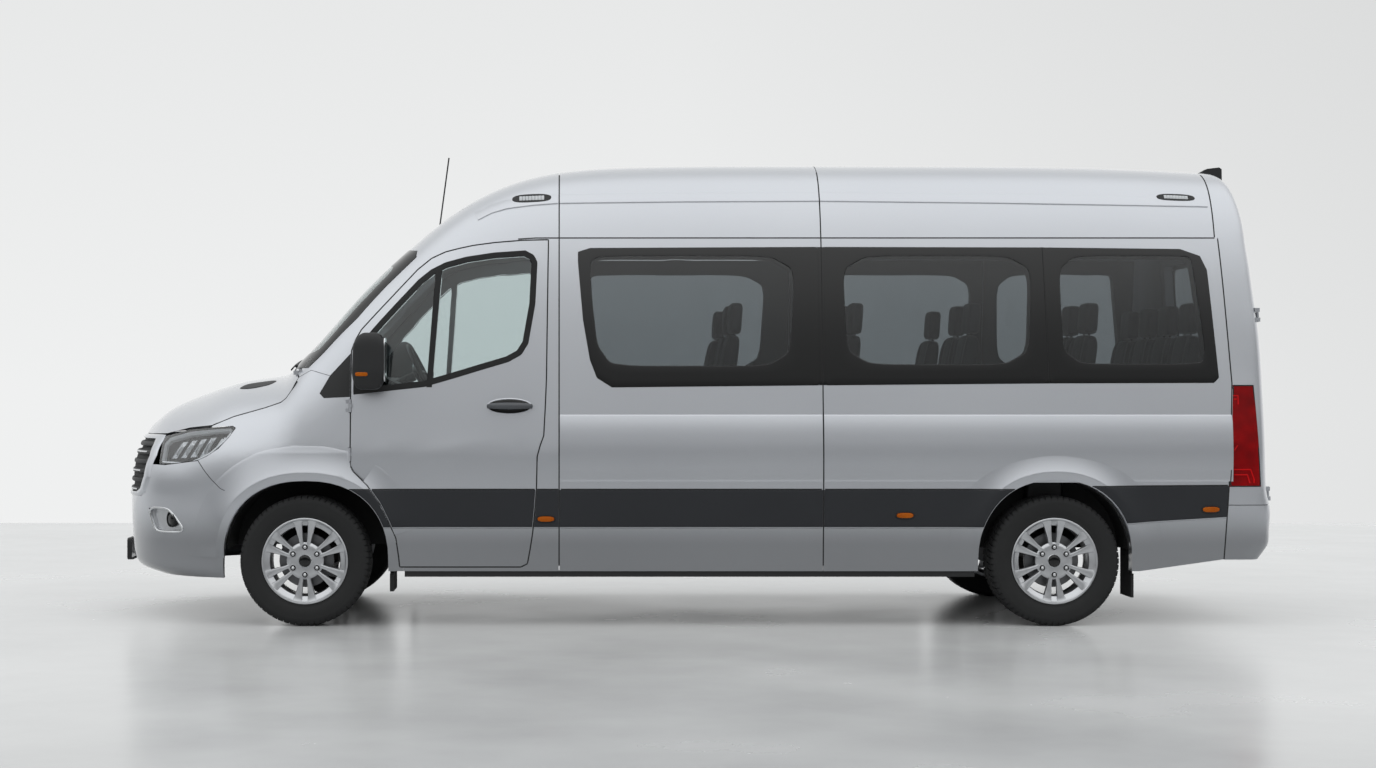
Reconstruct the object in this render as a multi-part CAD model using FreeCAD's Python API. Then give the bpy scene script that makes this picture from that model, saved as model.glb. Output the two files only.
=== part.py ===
import FreeCAD, Part
import math, os

os.makedirs("parts", exist_ok=True)
V = FreeCAD.Vector

# Sizes in millimetres. Positions count from the front axle's line on the ground:
# X runs to the rear, Y to the vehicle's right and Z up.
WHEELBASE = 4325.0
FRONT_OVERHANG = 1175.0
PLATE_STAND = 25.0
REAR_OVERHANG = 1292.34
HINGE_STAND = 5.34
WIDTH = 2020.0
ROOF_HEIGHT = 2715.0
TRACK = 1730.0
TYRE_RADIUS = 375.5
TYRE_WIDTH = 245.0
BEAD_RADIUS = 234.0
WALL = 70.0
ROOF_WALL = 50.0
BONNET_WALL = 35.0
REAR_WALL = 60.0
GLASS = 5.7
SKIN_LIP = 16.0
DOOR_GAP = 6.0
REAR_DOOR_GAP = 8.0
SEAM = 4.0
FLOOR_TOP = 680.0
FLOOR_THICKNESS = 60.0
AISLE_RUNNER = 4.0
BEAM_Z = 556.0
SILL_Z = 318.0
GUTTER_Z = 2248.0
B_PILLAR_X = 1467.0
MID_SEAM_X = 2989.0
KINGPIN_Y = 800.0
SPINDLE_RADIUS = 30.0
RUNNING = 0.05
SEAT_GAP = 0.3
CLEARANCE = 5.0
ARCH_LIP = 46.0
ARCH_LIP_HEIGHT = 10.0
FOG_POCKET = 28.0
FOG_RADIUS = 42.0
NUTS = 6
NUT_CIRCLE = 79.5
CAP_RADIUS = 34.0

HALF = WIDTH / 2
REAR = WHEELBASE
WHEEL_Y = TRACK / 2
PLATE_X = -FRONT_OVERHANG
TIP = PLATE_X + PLATE_STAND
BACK = REAR + REAR_OVERHANG - HINGE_STAND
LENGTH = FRONT_OVERHANG + WHEELBASE + REAR_OVERHANG
FLOOR_Z = FLOOR_TOP - FLOOR_THICKNESS


def smooth(points):
    # A curve through the points that never overshoots between two of them.
    xs = [p[0] for p in points]
    ys = [p[1] for p in points]
    n = len(xs)
    h = [xs[i + 1] - xs[i] for i in range(n - 1)]
    d = [(ys[i + 1] - ys[i]) / h[i] for i in range(n - 1)]
    m = [d[0]] + [0.0] * (n - 2) + [d[-1]]
    for i in range(1, n - 1):
        if d[i - 1] * d[i] > 0:
            a = 2 * h[i] + h[i - 1]
            b = h[i] + 2 * h[i - 1]
            m[i] = (a + b) / (a / d[i - 1] + b / d[i])

    def value(x):
        if x <= xs[0]:
            return ys[0]
        if x >= xs[-1]:
            return ys[-1]
        i = max(k for k in range(n - 1) if xs[k] <= x)
        t = (x - xs[i]) / h[i]
        return (ys[i] * (1 + 2 * t) * (1 - t) ** 2 + h[i] * m[i] * t * (1 - t) ** 2
                + ys[i + 1] * t * t * (3 - 2 * t) + h[i] * m[i + 1] * t * t * (t - 1))
    return value


# The body's skin. Its height along the middle, and what shapes each cross-section.
ridge = smooth([(TIP + 67, 1114), (TIP + 103, 1155), (TIP + 159, 1199), (TIP + 225, 1250),
                (TIP + 303, 1289), (TIP + 493, 1361), (-434, 1423), (-178, 1465), (-60, 1560),
                (324, 1985), (596, 2235), (800, 2400),
                (970, 2510), (1220, ROOF_HEIGHT - 95), (1500, ROOF_HEIGHT - 33),
                (1900, ROOF_HEIGHT - 7), (2600, ROOF_HEIGHT), (REAR - 125, ROOF_HEIGHT - 3),
                (BACK - 612, ROOF_HEIGHT - 25), (BACK - 12, ROOF_HEIGHT - 60)])
squareness = smooth([(TIP + 67, 2.3), (TIP + 408, 2.4), (TIP + 577, 2.8), (-335, 3.0),
                     (-218, 3.25), (-143, 3.6),
                     (-90, 4.05), (-55, 4.6), (324, 5.0), (900, 6.0), (BACK - 12, 6.0)])
shoulder = smooth([(TIP + 67, 750), (TIP + 577, 750), (-335, 760), (-218, 790), (-90, 820), (0, 850),
                   (600, 1000), (BACK - 12, 1000)])
nose = smooth([(250, TIP + 250), (300, TIP + 90), (330, TIP + 40), (400, TIP + 15),
               (521, TIP + 8), (711, TIP),
               (911, TIP + 8), (1023, TIP + 28), (1114, TIP + 67)])
NOSE_START = 300.0
NOSE_POWER = 3.0
SKIN_BOTTOM = 300.0
TUMBLEHOME = 0.155
SKIN_X = [TIP + 75, TIP + 95, TIP + 120, TIP + 160, TIP + 210, TIP + 280, TIP + 370, TIP + 480, TIP + 600,
          -430, -320, -230, -160, -100, -30, 60, 170, 300, 450, 600, 760, 930, 1120, 1340, 1600,
          2000, 2600, 3300,
          REAR - 325, REAR + 275, BACK - 612, BACK - 312, BACK - 12]


def half_width(x, z, low=500.0):
    y = HALF
    if x < NOSE_START:
        r = (NOSE_START - x) / (NOSE_START - nose(max(z, low)))
        y *= max(0.0, 1 - r ** NOSE_POWER) ** (1 / NOSE_POWER)
    z0 = shoulder(x)
    if z <= z0:
        return y * (1 - 0.03 * ((z0 - z) / (z0 - SKIN_BOTTOM)) ** 2)
    s = min((z - z0) / (ridge(x) - z0), 1.0)
    n = squareness(x)
    return y * (1 - s ** n) ** (1 / n) * (1 - TUMBLEHOME * max(0.0, z - 1000) / 1715)


def spaced(points, n):
    # The same line, as n+1 points at even distances.
    run = [0.0]
    for a, b in zip(points, points[1:]):
        run.append(run[-1] + math.hypot(b[0] - a[0], b[1] - a[1]))
    out, j = [], 0
    for i in range(n + 1):
        t = run[-1] * i / n
        while j < len(run) - 2 and run[j + 1] < t:
            j += 1
        u = (t - run[j]) / max(run[j + 1] - run[j], 1e-9)
        a, b = points[j], points[j + 1]
        out.append((a[0] + u * (b[0] - a[0]), a[1] + u * (b[1] - a[1])))
    return out


def inset_line(points, depth, last):
    # The line moved inwards by depth; its last point stays on the middle plane.
    out = []
    for i, p in enumerate(points):
        a, b = points[max(i - 1, 0)], points[min(i + 1, len(points) - 1)]
        t = (b[0] - a[0], b[1] - a[1])
        if i == len(points) - 1:
            t = last
        length = math.hypot(*t)
        out.append((p[0] - t[1] / length * depth, p[1] + t[0] / length * depth))
    return out


def spline(points, at):
    curve = Part.BSplineCurve()
    curve.interpolate(Points=points, Parameters=at)
    return curve


def even(lines):
    total = [0.0] * len(lines[0])
    for line in lines:
        run = 0.0
        for i in range(1, len(line)):
            run += (line[i] - line[i - 1]).Length
            total[i] += run
    return [t / total[-1] for t in total]


def skinned(rows):
    # A closed solid under a smooth surface through rows of points, with flat ends and a flat base.
    across = even(rows)
    along = even([list(c) for c in zip(*rows)])
    curves = [spline(r, across) for r in rows]
    columns = [spline(list(c), along) for c in zip(*[k.getPoles() for k in curves])]
    poles = [list(r) for r in zip(*[k.getPoles() for k in columns])]
    u, v = columns[0], curves[0]
    surface = Part.BSplineSurface()
    surface.buildFromPolesMultsKnots(poles, u.getMultiplicities(), v.getMultiplicities(), u.getKnots(),
                                     v.getKnots(), False, False, u.Degree, v.Degree)
    u0, u1, v0, v1 = surface.bounds()

    def cap(edge):
        return Part.Face(Part.Wire([edge, Part.makeLine(edge.Vertexes[-1].Point, edge.Vertexes[0].Point)]))
    shell = Part.makeShell([surface.toShape(), cap(surface.uIso(u0).toShape()),
                            cap(surface.uIso(u1).toShape()),
                            Part.makeRuledSurface(surface.vIso(v0).toShape(), surface.vIso(v1).toShape())])
    shell.sewShape()
    solid = Part.makeSolid(shell)
    if solid.Volume < 0:
        solid.reverse()
    return solid


def cross_section(x, depth, bottom):
    z0, z1 = shoulder(x), ridge(x)
    line = [(half_width(x, bottom + (z0 - bottom) * k / 40), bottom + (z0 - bottom) * k / 40)
            for k in range(40)]
    line += [(half_width(x, z), z) for z in
             (z0 + (z1 - z0) * (1 - (1 - k / 300) ** 3) for k in range(301))]
    line = spaced(line, 36)
    if depth:
        line = inset_line(line, depth, (-1.0, 0.0))
    left = [V(x, -y, z) for y, z in line[:-1]]
    return left + [V(x, 0, line[-1][1])] + [V(x, y, z) for y, z in reversed(line[:-1])]


def nose_section(z, depth):
    tip = nose(z)
    line = [(x, half_width(x, z, 0.0)) for x in
            (NOSE_START + (tip - NOSE_START) * math.sin(k / 400 * math.pi / 2) for k in range(401))]
    line = spaced(line, 36)
    if depth:
        line = inset_line(line, depth, (0.0, -1.0))
    left = [V(x, -y, z) for x, y in line[:-1]]
    return left + [V(line[-1][0], 0, z)] + [V(x, y, z) for x, y in reversed(line[:-1])]


# How far the tail stands behind the line where its corners begin, by height.
TAIL_START = BACK - 362
TAIL_POWER = 8.0
tail = smooth([(380, 290), (430, 330), (470, 356), (540, 362), (701, 362), (760, 345), (811, 339),
               (1386, 325), (1770, 303), (1936, 282), (2093, 265), (2206, 251), (2319, 242),
               (2434, 224), (2520, 203), (2591, 176), (2630, 150), (ROOF_HEIGHT - 58, 105)])
TAIL_Z = [385, 430, 470, 540, 701, 760, 811, 1000, 1386, 1770, 1936, 2093, 2206, 2319, 2434, 2520,
          2591, 2630, ROOF_HEIGHT - 58]


def tail_section(z, depth):
    y0 = half_width(BACK - 322, min(z, ROOF_HEIGHT - 58)) - depth
    d = tail(z) - depth
    line = [(TAIL_START - 60, y0)]
    for k in range(201):
        a = k / 200 * math.pi / 2
        line.append((TAIL_START + d * math.sin(a) ** (2 / TAIL_POWER),
                     y0 * math.cos(a) ** (2 / TAIL_POWER)))
    line = spaced(line, 40)
    left = [V(x, -y, z) for x, y in line[:-1]]
    return left + [V(line[-1][0], 0, z)] + [V(x, y, z) for x, y in reversed(line[:-1])]


made = {}


def skin(depth):
    if ("skin", depth) not in made:
        bottom = SKIN_BOTTOM if depth <= 0 else SKIN_BOTTOM - 100
        made["skin", depth] = skinned([cross_section(x, depth, bottom) for x in SKIN_X])
    return made["skin", depth]


def front(depth):
    if ("front", depth) not in made:
        heights = [272, 290, 315, 350, 400, 460, 521, 600, 680, 760, 840, 911, 970, 1023, 1070, 1102]
        if depth > 0:
            heights = [z + (-4 if z == 272 else 4 if z == 1102 else 0) for z in heights]
        made["front", depth] = skinned([nose_section(z, depth) for z in heights])
    return made["front", depth]


def back(depth):
    if ("back", depth) not in made:
        heights = list(TAIL_Z)
        if depth > 0:
            heights[0] -= 60
            heights[-1] -= min(depth, 40)
            heights[-2] -= min(depth, 40) / 2
            heights[-3] -= min(depth, 40) / 3
        made["back", depth] = skinned([tail_section(z, depth) for z in heights])
    return made["back", depth]


def layer(kind, outer, inner):
    key = ("layer", kind.__name__, outer, inner)
    if key not in made:
        made[key] = kind(outer).cut(kind(inner))
    return made[key]


def face(points, plane, grow=0.0):
    wire = Part.makePolygon([V(*plane(a, b)) for a, b in points + points[:1]])
    if grow:
        wire = wire.makeOffset2D(grow, 2)
    return Part.Face(wire)


def side_prism(points, y0, y1, grow=0.0):
    # An outline in the side view, from y0 to y1.
    return face(points, lambda x, z: (x, y0, z), grow).extrude(V(0, y1 - y0, 0))


def front_prism(points, x0, x1, grow=0.0):
    return face(points, lambda y, z: (x0, y, z), grow).extrude(V(x1 - x0, 0, 0))


def plan_prism(points, z0, z1, grow=0.0):
    return face(points, lambda x, y: (x, y, z0), grow).extrude(V(0, 0, z1 - z0))


def box(x0, x1, y0, y1, z0, z1):
    return Part.makeBox(x1 - x0, y1 - y0, z1 - z0, V(x0, y0, z0))


def rod(start, end, radius):
    a, b = V(*start), V(*end)
    return Part.makeCylinder(radius, (b - a).Length, a, b - a)


def mirrored(shape):
    return shape.mirror(V(0, 0, 0), V(0, 1, 0))


def both(shape):
    return [shape, mirrored(shape)]


def joined(shapes):
    out = shapes[0].fuse(shapes[1:])
    return out.removeSplitter()


MOVE = V(-(LENGTH / 2 - FRONT_OVERHANG), 0, 0)


def save(name, shapes):
    parts = []
    for item in shapes if isinstance(shapes, (list, tuple)) else [shapes]:
        parts += [s for s in item.Solids if s.Volume > 500]
    shape = parts[0] if len(parts) == 1 else Part.makeCompound(parts)
    shape = shape.copy()
    shape.translate(MOVE)
    if not shape.isValid():
        print("not valid:", name)
    shape.exportStep("parts/%s.step" % name)


LEFT = (-HALF - 200, -HALF / 2 + 100)
ACROSS = (-HALF - 200, HALF + 200)

# Outlines in the side view, read along the skin.
DOOR = [(1404, 2236), (1253, 2233), (1090, 2220), (968, 2204), (886, 2187), (805, 2167), (724, 2130),
        (643, 2064), (522, 1933), (402, 1803), (321, 1713), (289, 1656), (266, 1591), (266, 1374),
        (266, 929), (284, 894), (365, 816), (437, 713), (487, 611), (528, 507), (543, 404), (549, 343),
        (1247, 343), (1284, 362), (1299, 444), (1314, 540), (1328, 686), (1336, 797), (1340, 980),
        (1358, 1046), (1378, 1100), (1387, 1273), (1393, 1420)]
DOOR_GLASS = [(282, 1338), (689, 1382), (851, 1429), (1012, 1478), (1174, 1526), (1247, 1567),
              (1287, 1631), (1327, 1860), (1339, 2105), (1318, 2146), (1270, 2172), (1090, 2160),
              (928, 2136), (805, 2103), (724, 2062), (652, 2005), (523, 1866), (427, 1760),
              (322, 1638), (282, 1580)]
DOOR_BAR = [(701, 1370), (733, 1370), (798, 2200), (760, 2200)]
FRONT_WINDOW = [(1576, 2165), (1576, 2106), (1605, 1768), (1645, 1536), (1685, 1432), (1772, 1377),
                (2971, 1389), (2970, 2194), (1646, 2188)]
FRONT_CLEAR = [(1646, 2106), (1657, 1884), (1686, 1623), (1772, 1501), (2800, 1501), (2836, 2141),
               (1704, 2141)]
MIDDLE_WINDOW = [(3005, 1389), (3005, 2194), (REAR - 58, 2191), (REAR - 36, 1400)]
MIDDLE_CLEAR = [(3109, 2141), (3134, 1509), (REAR - 146, 1509), (REAR - 118, 2141)]
REAR_WINDOW = [(REAR - 27, 1400), (REAR - 46, 2191), (BACK - 538, 2182), (BACK - 424, 2141),
               (BACK - 387, 2059), (BACK - 338, 1432), (BACK - 368, 1403)]
REAR_CLEAR = [(REAR + 39, 2141), (REAR + 56, 1513), (BACK - 434, 1513), (BACK - 414, 1594),
              (BACK - 472, 2106), (BACK - 497, 2141)]
WINDSCREEN = [(HALF - w, z) for w, z in ((142, 1490), (155, 1660), (162, 1780), (198, 1961), (225, 2140),
                                         (270, 2182), (510, 2202))]
WINDSCREEN += [(-y, z) for y, z in reversed(WINDSCREEN)]
SHUT_LINE = [(TIP + 589, 1155), (-429, 1209), (-248, 1259), (-151, 1291), (-118, 1317), (-87, 1364),
             (-48, 1439)]
BUMPER_SEAM = [(TIP + 520, 951), (TIP + 561, 895), (TIP + 605, 844), (-490, 793), (-458, 778),
               (-373, 768), (-320, 768)]
HEADLAMP = [(TIP + 265, 1073), (TIP + 285, 1093), (TIP + 441, 1132), (TIP + 590, 1146), (TIP + 718, 1154),
            (TIP + 738, 1142), (TIP + 703, 1089), (TIP + 643, 1022), (TIP + 569, 975), (TIP + 514, 952),
            (TIP + 306, 924), (TIP + 262, 926)]
FOG = [(TIP + 199, 669), (TIP + 324, 670), (TIP + 370, 630), (TIP + 427, 558), (TIP + 410, 537),
       (TIP + 261, 536), (TIP + 236, 561)]
FOG_LAMP = (TIP + 339, -(HALF - 185), 608)
SAIL = [(84, 1343), (110, 1315), (261, 1322), (261, 1575), (143, 1446)]
FENDER_BACK = [(290, 1400), (290, 940), (384, 836), (460, 726), (512, 620), (552, 512), (568, 404),
               (574, 250)]
REAR_SEAM = [(BACK - 332, GUTTER_Z), (BACK - 314, GUTTER_Z), (BACK - 264, 1397), (BACK - 292, 788),
             (BACK - 314, 385)]
GRILLE = [(HALF - w, z) for w, z in ((404, 1098), (369, 1062), (317, 979), (297, 844), (320, 760),
                                     (370, 735))]
GRILLE += [(-y, z) for y, z in reversed(GRILLE)]
GRILLE_MIDDLE = 905.0
GRILLE_BARS = (775, 830, 885, 940, 995, 1045)
GRILLE_BAR = 13.0
REAR_DOOR = [(-REAR_DOOR_GAP / 2, 600)]
REAR_DOOR += [(w - HALF, z) for w, z in ((164, 600), (164, 1380), (220, 1980), (268, 2300), (320, 2400),
                                         (410, 2430))]
REAR_DOOR += [(-REAR_DOOR_GAP / 2, 2430)]
REAR_DOOR_GLASS = [(-70, 1400)]
REAR_DOOR_GLASS += [(w - HALF, z) for w, z in ((210, 1400), (240, 1960), (275, 2180), (330, 2215))]
REAR_DOOR_GLASS += [(-70, 2215)]


def arch(x, z, half, height, power, floor):
    points = []
    for k in range(25):
        a = math.pi * k / 24
        c, s = math.cos(a), math.sin(a)
        points.append((x + math.copysign(abs(c) ** (2 / power), c) * half, z + s ** (2 / power) * height))
    return [(x + half, floor)] + points + [(x - half, floor)]


def front_arch(grow=0.0):
    return arch(8, TYRE_RADIUS, 475 + grow, 464 + grow, 2.3, 200)


def rear_arch(grow=0.0):
    return arch(REAR, TYRE_RADIUS, 444 + grow, 470 + grow, 2.2, 200)


FRONT_ARCH = front_arch()
REAR_ARCH = rear_arch()


def bonnet_edge(y):
    return -178 + 130 * (y / 862) ** 2


def bonnet_plan(gap, end):
    ys = [-1100 + 110 * k for k in range(21)]
    return [(end, -1100)] + [(bonnet_edge(y) + gap, y) for y in ys] + [(end, 1100)]


def slab(prism, kind, outer, inner):
    # The part of a prism that lies between two depths under the skin.
    return prism.common(kind(outer)).cut(kind(inner))


def opening(glass, clear):
    # What a bonded pane takes from its wall: a seat for the glass and a hole through.
    return [side_prism(glass, *LEFT).cut(skin(6)), side_prism(clear, *LEFT)]


def pane(glass):
    return slab(side_prism(glass, *LEFT, grow=-1.0), skin, 0, GLASS)


def arch_lip(outline, kind, arch_of):
    # A raised rim round a wheel arch, where the outline in the side view allows it.
    ring = side_prism(arch_of(ARCH_LIP), *LEFT).cut(side_prism(arch_of(), *ACROSS))
    return slab(ring.common(side_prism(outline, *LEFT)), kind, -ARCH_LIP_HEIGHT, 6)


# Front doors: a thin flange at the skin, and a thicker box behind it that sits inside the frame.
HINGE_TILT = 0.0735
HINGE_X = 263.0


def hinge_point(z):
    return (HINGE_X, -(HALF + 1) + HINGE_TILT * (z - 960), z)


HINGE_AXIS = (0.0, HINGE_TILT / math.hypot(1, HINGE_TILT), 1 / math.hypot(1, HINGE_TILT))


def on_line(start, along, distance):
    return tuple(s + a * distance for s, a in zip(start, along))


def hinge_parts(start, along, knuckle, pin, lengths=(24, 26)):
    # A pin fixed in two end knuckles, and a middle knuckle that turns on it.
    end, mid = lengths
    total = 2 * end + mid
    at = [on_line(start, along, d) for d in (0, end, end + 1, end + mid - 1, end + mid, total)]
    fixed = joined([rod(at[0], at[1], knuckle), rod(at[4], at[5], knuckle), rod(at[0], at[5], pin)])
    moving = rod(at[2], at[3], knuckle).cut(rod(at[0], at[5], pin + RUNNING))
    room = rod(on_line(start, along, -3), on_line(start, along, total + 3), knuckle + 3)
    return fixed, moving, room, at


door_hole = [side_prism(DOOR, *LEFT, grow=DOOR_GAP / 2).cut(skin(SKIN_LIP + CLEARANCE)),
             side_prism(DOOR, *LEFT, grow=-10)]
hinge_low = hinge_parts(hinge_point(955), HINGE_AXIS, 6.0, 2.5)
hinge_high = hinge_parts(hinge_point(1235), HINGE_AXIS, 6.0, 2.5)


def fixed_leaf(h, x0, x1):
    a, b = V(*h[3][0]), V(*h[3][1])
    c, d = V(*h[3][4]), V(*h[3][5])
    out = [h[0]]
    for p, q in ((a, b), (c, d)):
        y = (p.y + q.y) / 2
        out.append(box(x0, x1, y + 1.0, y + 34, p.z + 1, q.z - 1))
    return joined(out)


def moving_leaf(h):
    # It reaches from the knuckle to the door's flange and stays as shallow as the flange.
    p, q = V(*h[3][2]), V(*h[3][3])
    y = (p.y + q.y) / 2
    leaf = box(HINGE_X + DOOR_GAP / 2, HINGE_X + 18, y + 1.5, y + SKIN_LIP - 1, p.z + 1, q.z - 1)
    return joined([h[1], leaf.cut(rod(h[3][0], h[3][5], 5.0))])


door_outline = side_prism(DOOR, *LEFT, grow=-DOOR_GAP / 2).common(
    side_prism([(x - 2.5, z) for x, z in DOOR], *LEFT))
rebate = door_outline.cut(side_prism(DOOR, *LEFT, grow=-22)).common(skin(SKIN_LIP))
door_clear = side_prism(DOOR_GLASS, *LEFT, grow=-32).cut(side_prism(DOOR_BAR, *LEFT))
door = slab(door_outline, skin, 0, WALL).cut(
    [rebate, side_prism(DOOR_GLASS, *LEFT).cut(skin(6)), door_clear, hinge_low[2], hinge_high[2]])
door = joined([door, moving_leaf(hinge_low), moving_leaf(hinge_high)])
for side, shape in zip(("left", "right"), both(door)):
    save("door_front_" + side, shape)
for side, shape in zip(("left", "right"), both(pane(DOOR_GLASS))):
    save("door_glass_" + side, shape)

handle = slab(box(1051, 1316, *LEFT, 1240, 1294), skin, -34, -18)
for x in (1062, 1280):
    handle = handle.fuse(slab(box(x, x + 24, *LEFT, 1245, 1289), skin, -20, 0))
for side, shape in zip(("left", "right"), both(handle.removeSplitter())):
    save("door_handle_" + side, shape)

mirror_case = plan_prism([(x, -(HALF + y)) for x, y in ((287, 30), (312, 12), (440, 12), (474, 26),
                                                        (480, 140), (455, 158), (330, 162), (292, 140))],
                         1362, 1692)
mirror_case = mirror_case.common(side_prism([(283, 1380), (300, 1362), (455, 1362), (480, 1380),
                                             (480, 1640), (440, 1692), (350, 1692), (300, 1640)],
                                            *LEFT))
mirror_foot = box(335, 400, -(HALF + 14), -(HALF - 80), 1392, 1452).cut(skin(0))
for side, shape in zip(("left", "right"), both(joined([mirror_case, mirror_foot]))):
    save("mirror_" + side, shape)

# The fixed body shell in front.
front_cut = [side_prism(FRONT_ARCH, *ACROSS), side_prism(HEADLAMP, *ACROSS), side_prism(SAIL, *ACROSS)]
shell = layer(skin, 0, WALL)
hinges = [fixed_leaf(hinge_low, HINGE_X - 26, HINGE_X - 1.5),
          fixed_leaf(hinge_high, HINGE_X - 26, HINGE_X - 1.5)]
HINGE_B = (-46.0, 1480.0)
hinge_b = hinge_parts((HINGE_B[0], -(HALF - 170), HINGE_B[1]), (0, 1, 0), 6.0, 3.0)
y0, y1, y2, y3, y4, y5 = [p[1] for p in hinge_b[3]]
fender_line = ([(x, z - 3) for x, z in SHUT_LINE] + [(28, 1476), (139, 1444)] + FENDER_BACK
               + [(-320, 600)] + [(x + 0.15, z + 0.15) for x, z in reversed(BUMPER_SEAM)])
fender = shell.common(side_prism(fender_line, *LEFT))
fender = fender.common(box(-800, 700, *LEFT, SILL_Z, 1600))
fender = fender.cut(front_cut).cut(door_hole)
fender = fender.cut([hinge_low[2], hinge_high[2],
                     box(HINGE_B[0] - 3, -9, y0 - 4, y5 + 4, HINGE_B[1] - 44, HINGE_B[1] + 20)])
fender_lip = arch_lip(fender_line, skin, front_arch).common(box(-800, 322, *LEFT, 500, 1600))
fender = joined([max(fender.Solids, key=lambda s: s.Volume), fender_lip] + hinges)
save("front_fenders", both(fender))

cab_line = ([(-260, 1240)] + [(x, z) for x, z in SHUT_LINE if x >= -151] + [(28, 1479), (139, 1447)]
            + FENDER_BACK[:-1] + [(574, SILL_Z), (B_PILLAR_X - SEAM / 2, SILL_Z),
                                  (B_PILLAR_X - SEAM / 2, ROOF_HEIGHT + 50), (-260, ROOF_HEIGHT + 50)])
cab = shell.common(side_prism(cab_line, *ACROSS))
cab = cab.cut([plan_prism(bonnet_plan(3, -700), 900, 1700), side_prism(SAIL, *ACROSS)])
cab = cab.cut(door_hole + [mirrored(s) for s in door_hole])
cab = cab.cut([front_prism(WINDSCREEN, -400, 760).cut(skin(6)),
               front_prism(WINDSCREEN, -400, 760, grow=-45)])
bonnet_leaf = joined([hinge_b[1], box(-86, -47, y2, y3, 1452, 1476).cut(
    rod(hinge_b[3][0], hinge_b[3][5], 5))])
leaf_room = box(-100, -34, y2 - 4, y3 + 4, 1440, 1500)
fixed_b = [hinge_b[0]] + [box(-45, -12, a, b, 1440, 1478).cut(rod(hinge_b[3][0], hinge_b[3][5], 5))
                          for a, b in ((y0, y1), (y4, y5))]
cab = cab.cut(both(hinge_b[2]) + both(leaf_room))
cab = max(cab.Solids, key=lambda s: s.Volume)
fixed_b = joined(fixed_b)
cab = joined([cab] + both(fixed_b))
save("cab_shell", cab)
save("windscreen", slab(front_prism(WINDSCREEN, -400, 760, grow=-1), skin, 0, GLASS))
save("sail_panels", both(slab(side_prism(SAIL, *LEFT, grow=-0.3), skin, 0, 40)))

bonnet_line = [(TIP - 50, 1106), (TIP + 150, 1101), (TIP + 285, 1106), (TIP + 441, 1142)] + \
    [(x, z + 3) for x, z in SHUT_LINE] + [(-40, 1700), (-1200, 1700)]
bonnet = slab(side_prism(bonnet_line, *ACROSS).common(plan_prism(bonnet_plan(-3, -1300), 900, 1700)),
              skin, 0, BONNET_WALL)
bonnet = max(bonnet.Solids, key=lambda s: s.Volume)
bonnet = joined([bonnet] + both(bonnet_leaf))
save("bonnet", bonnet)

lamp = slab(side_prism(HEADLAMP, *LEFT, grow=-SEAT_GAP), skin, 0, 80)
fog_axis = (-0.777, -0.63, 0.0)
fog_line = [on_line(FOG_LAMP, fog_axis, d) for d in (-60, 80)]
fog = slab(rod(*fog_line, FOG_RADIUS), front, 6, FOG_POCKET - SEAT_GAP)
save("front_lamps", both(lamp) + both(fog))

nose_shell = layer(front, 0, 40)
bumper_line = ([(TIP - 100, 255), (-480, 255), (-470, 500), (-380, 640), (-320, 700)]
               + [(x - 0.15, z - 0.15) for x, z in reversed(BUMPER_SEAM)]
               + [(TIP + 514, 950), (TIP + 306, 922), (TIP + 262, 924), (TIP - 100, 931)])
bumper = nose_shell.common(side_prism(bumper_line, *ACROSS))
fog_pocket = side_prism(FOG, *LEFT).fuse(rod(*fog_line, FOG_RADIUS + 1)).cut(front(FOG_POCKET))
bumper = bumper.cut([side_prism(FRONT_ARCH, *ACROSS), fog_pocket, mirrored(fog_pocket),
                     front_prism(GRILLE, TIP - 150, TIP + 450, grow=SEAT_GAP)])
bumper_lip = arch_lip(bumper_line, front, front_arch).common(box(-700, -300, *LEFT, 330, 900))
bumper = joined([max(bumper.Solids, key=lambda s: s.Volume)] + both(bumper_lip))
plate = box(PLATE_X, PLATE_X + 14, -260, 260, 335, 450)
bracket = box(PLATE_X + 14, TIP + 50, -180, 180, 360, 420).cut(front(0))
save("front_bumper", bumper)
save("number_plate", joined([plate, bracket]))
# The grille is a frame with open rows between its bars, in front of the radiator.
rows = []
inner = [(y * 0.93, GRILLE_MIDDLE + (z - GRILLE_MIDDLE) * 0.86) for y, z in GRILLE]
for low, high in zip(GRILLE_BARS, GRILLE_BARS[1:]):
    row = box(TIP - 150, TIP + 270, *ACROSS, low + GRILLE_BAR, high - GRILLE_BAR)
    rows.append(front_prism(inner, TIP - 150, TIP + 270).common(row))
grille = slab(front_prism(GRILLE, TIP - 150, TIP + 270), front, 0, 30).cut(rows)
save("grille", grille.cut(side_prism(HEADLAMP, *ACROSS)))
radiator = box(TIP + 255, TIP + 305, -420, 420, 570, 1000)
save("radiator", radiator)

# Side walls behind the cab.
rear_line = [(MID_SEAM_X + SEAM / 2, SILL_Z), (REAR + 490, SILL_Z), (BACK - 314, 387)] + \
    [(x - SEAM / 2, z) for x, z in reversed(REAR_SEAM)][1:] + [(MID_SEAM_X + SEAM / 2, GUTTER_Z)]
windows = [(FRONT_WINDOW, FRONT_CLEAR), (MIDDLE_WINDOW, MIDDLE_CLEAR), (REAR_WINDOW, REAR_CLEAR)]
holes = [opening(g, c) for g, c in windows]
front_panel = [(B_PILLAR_X + SEAM / 2, SILL_Z), (MID_SEAM_X - SEAM / 2, SILL_Z),
               (MID_SEAM_X - SEAM / 2, GUTTER_Z), (B_PILLAR_X + SEAM / 2, GUTTER_Z)]
panel_a = shell.common(side_prism(front_panel, *LEFT)).cut(holes[0])
panel_b = shell.common(side_prism(rear_line, *LEFT))
panel_b = panel_b.cut([side_prism(REAR_ARCH, *LEFT)] + holes[1] + holes[2])
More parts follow.
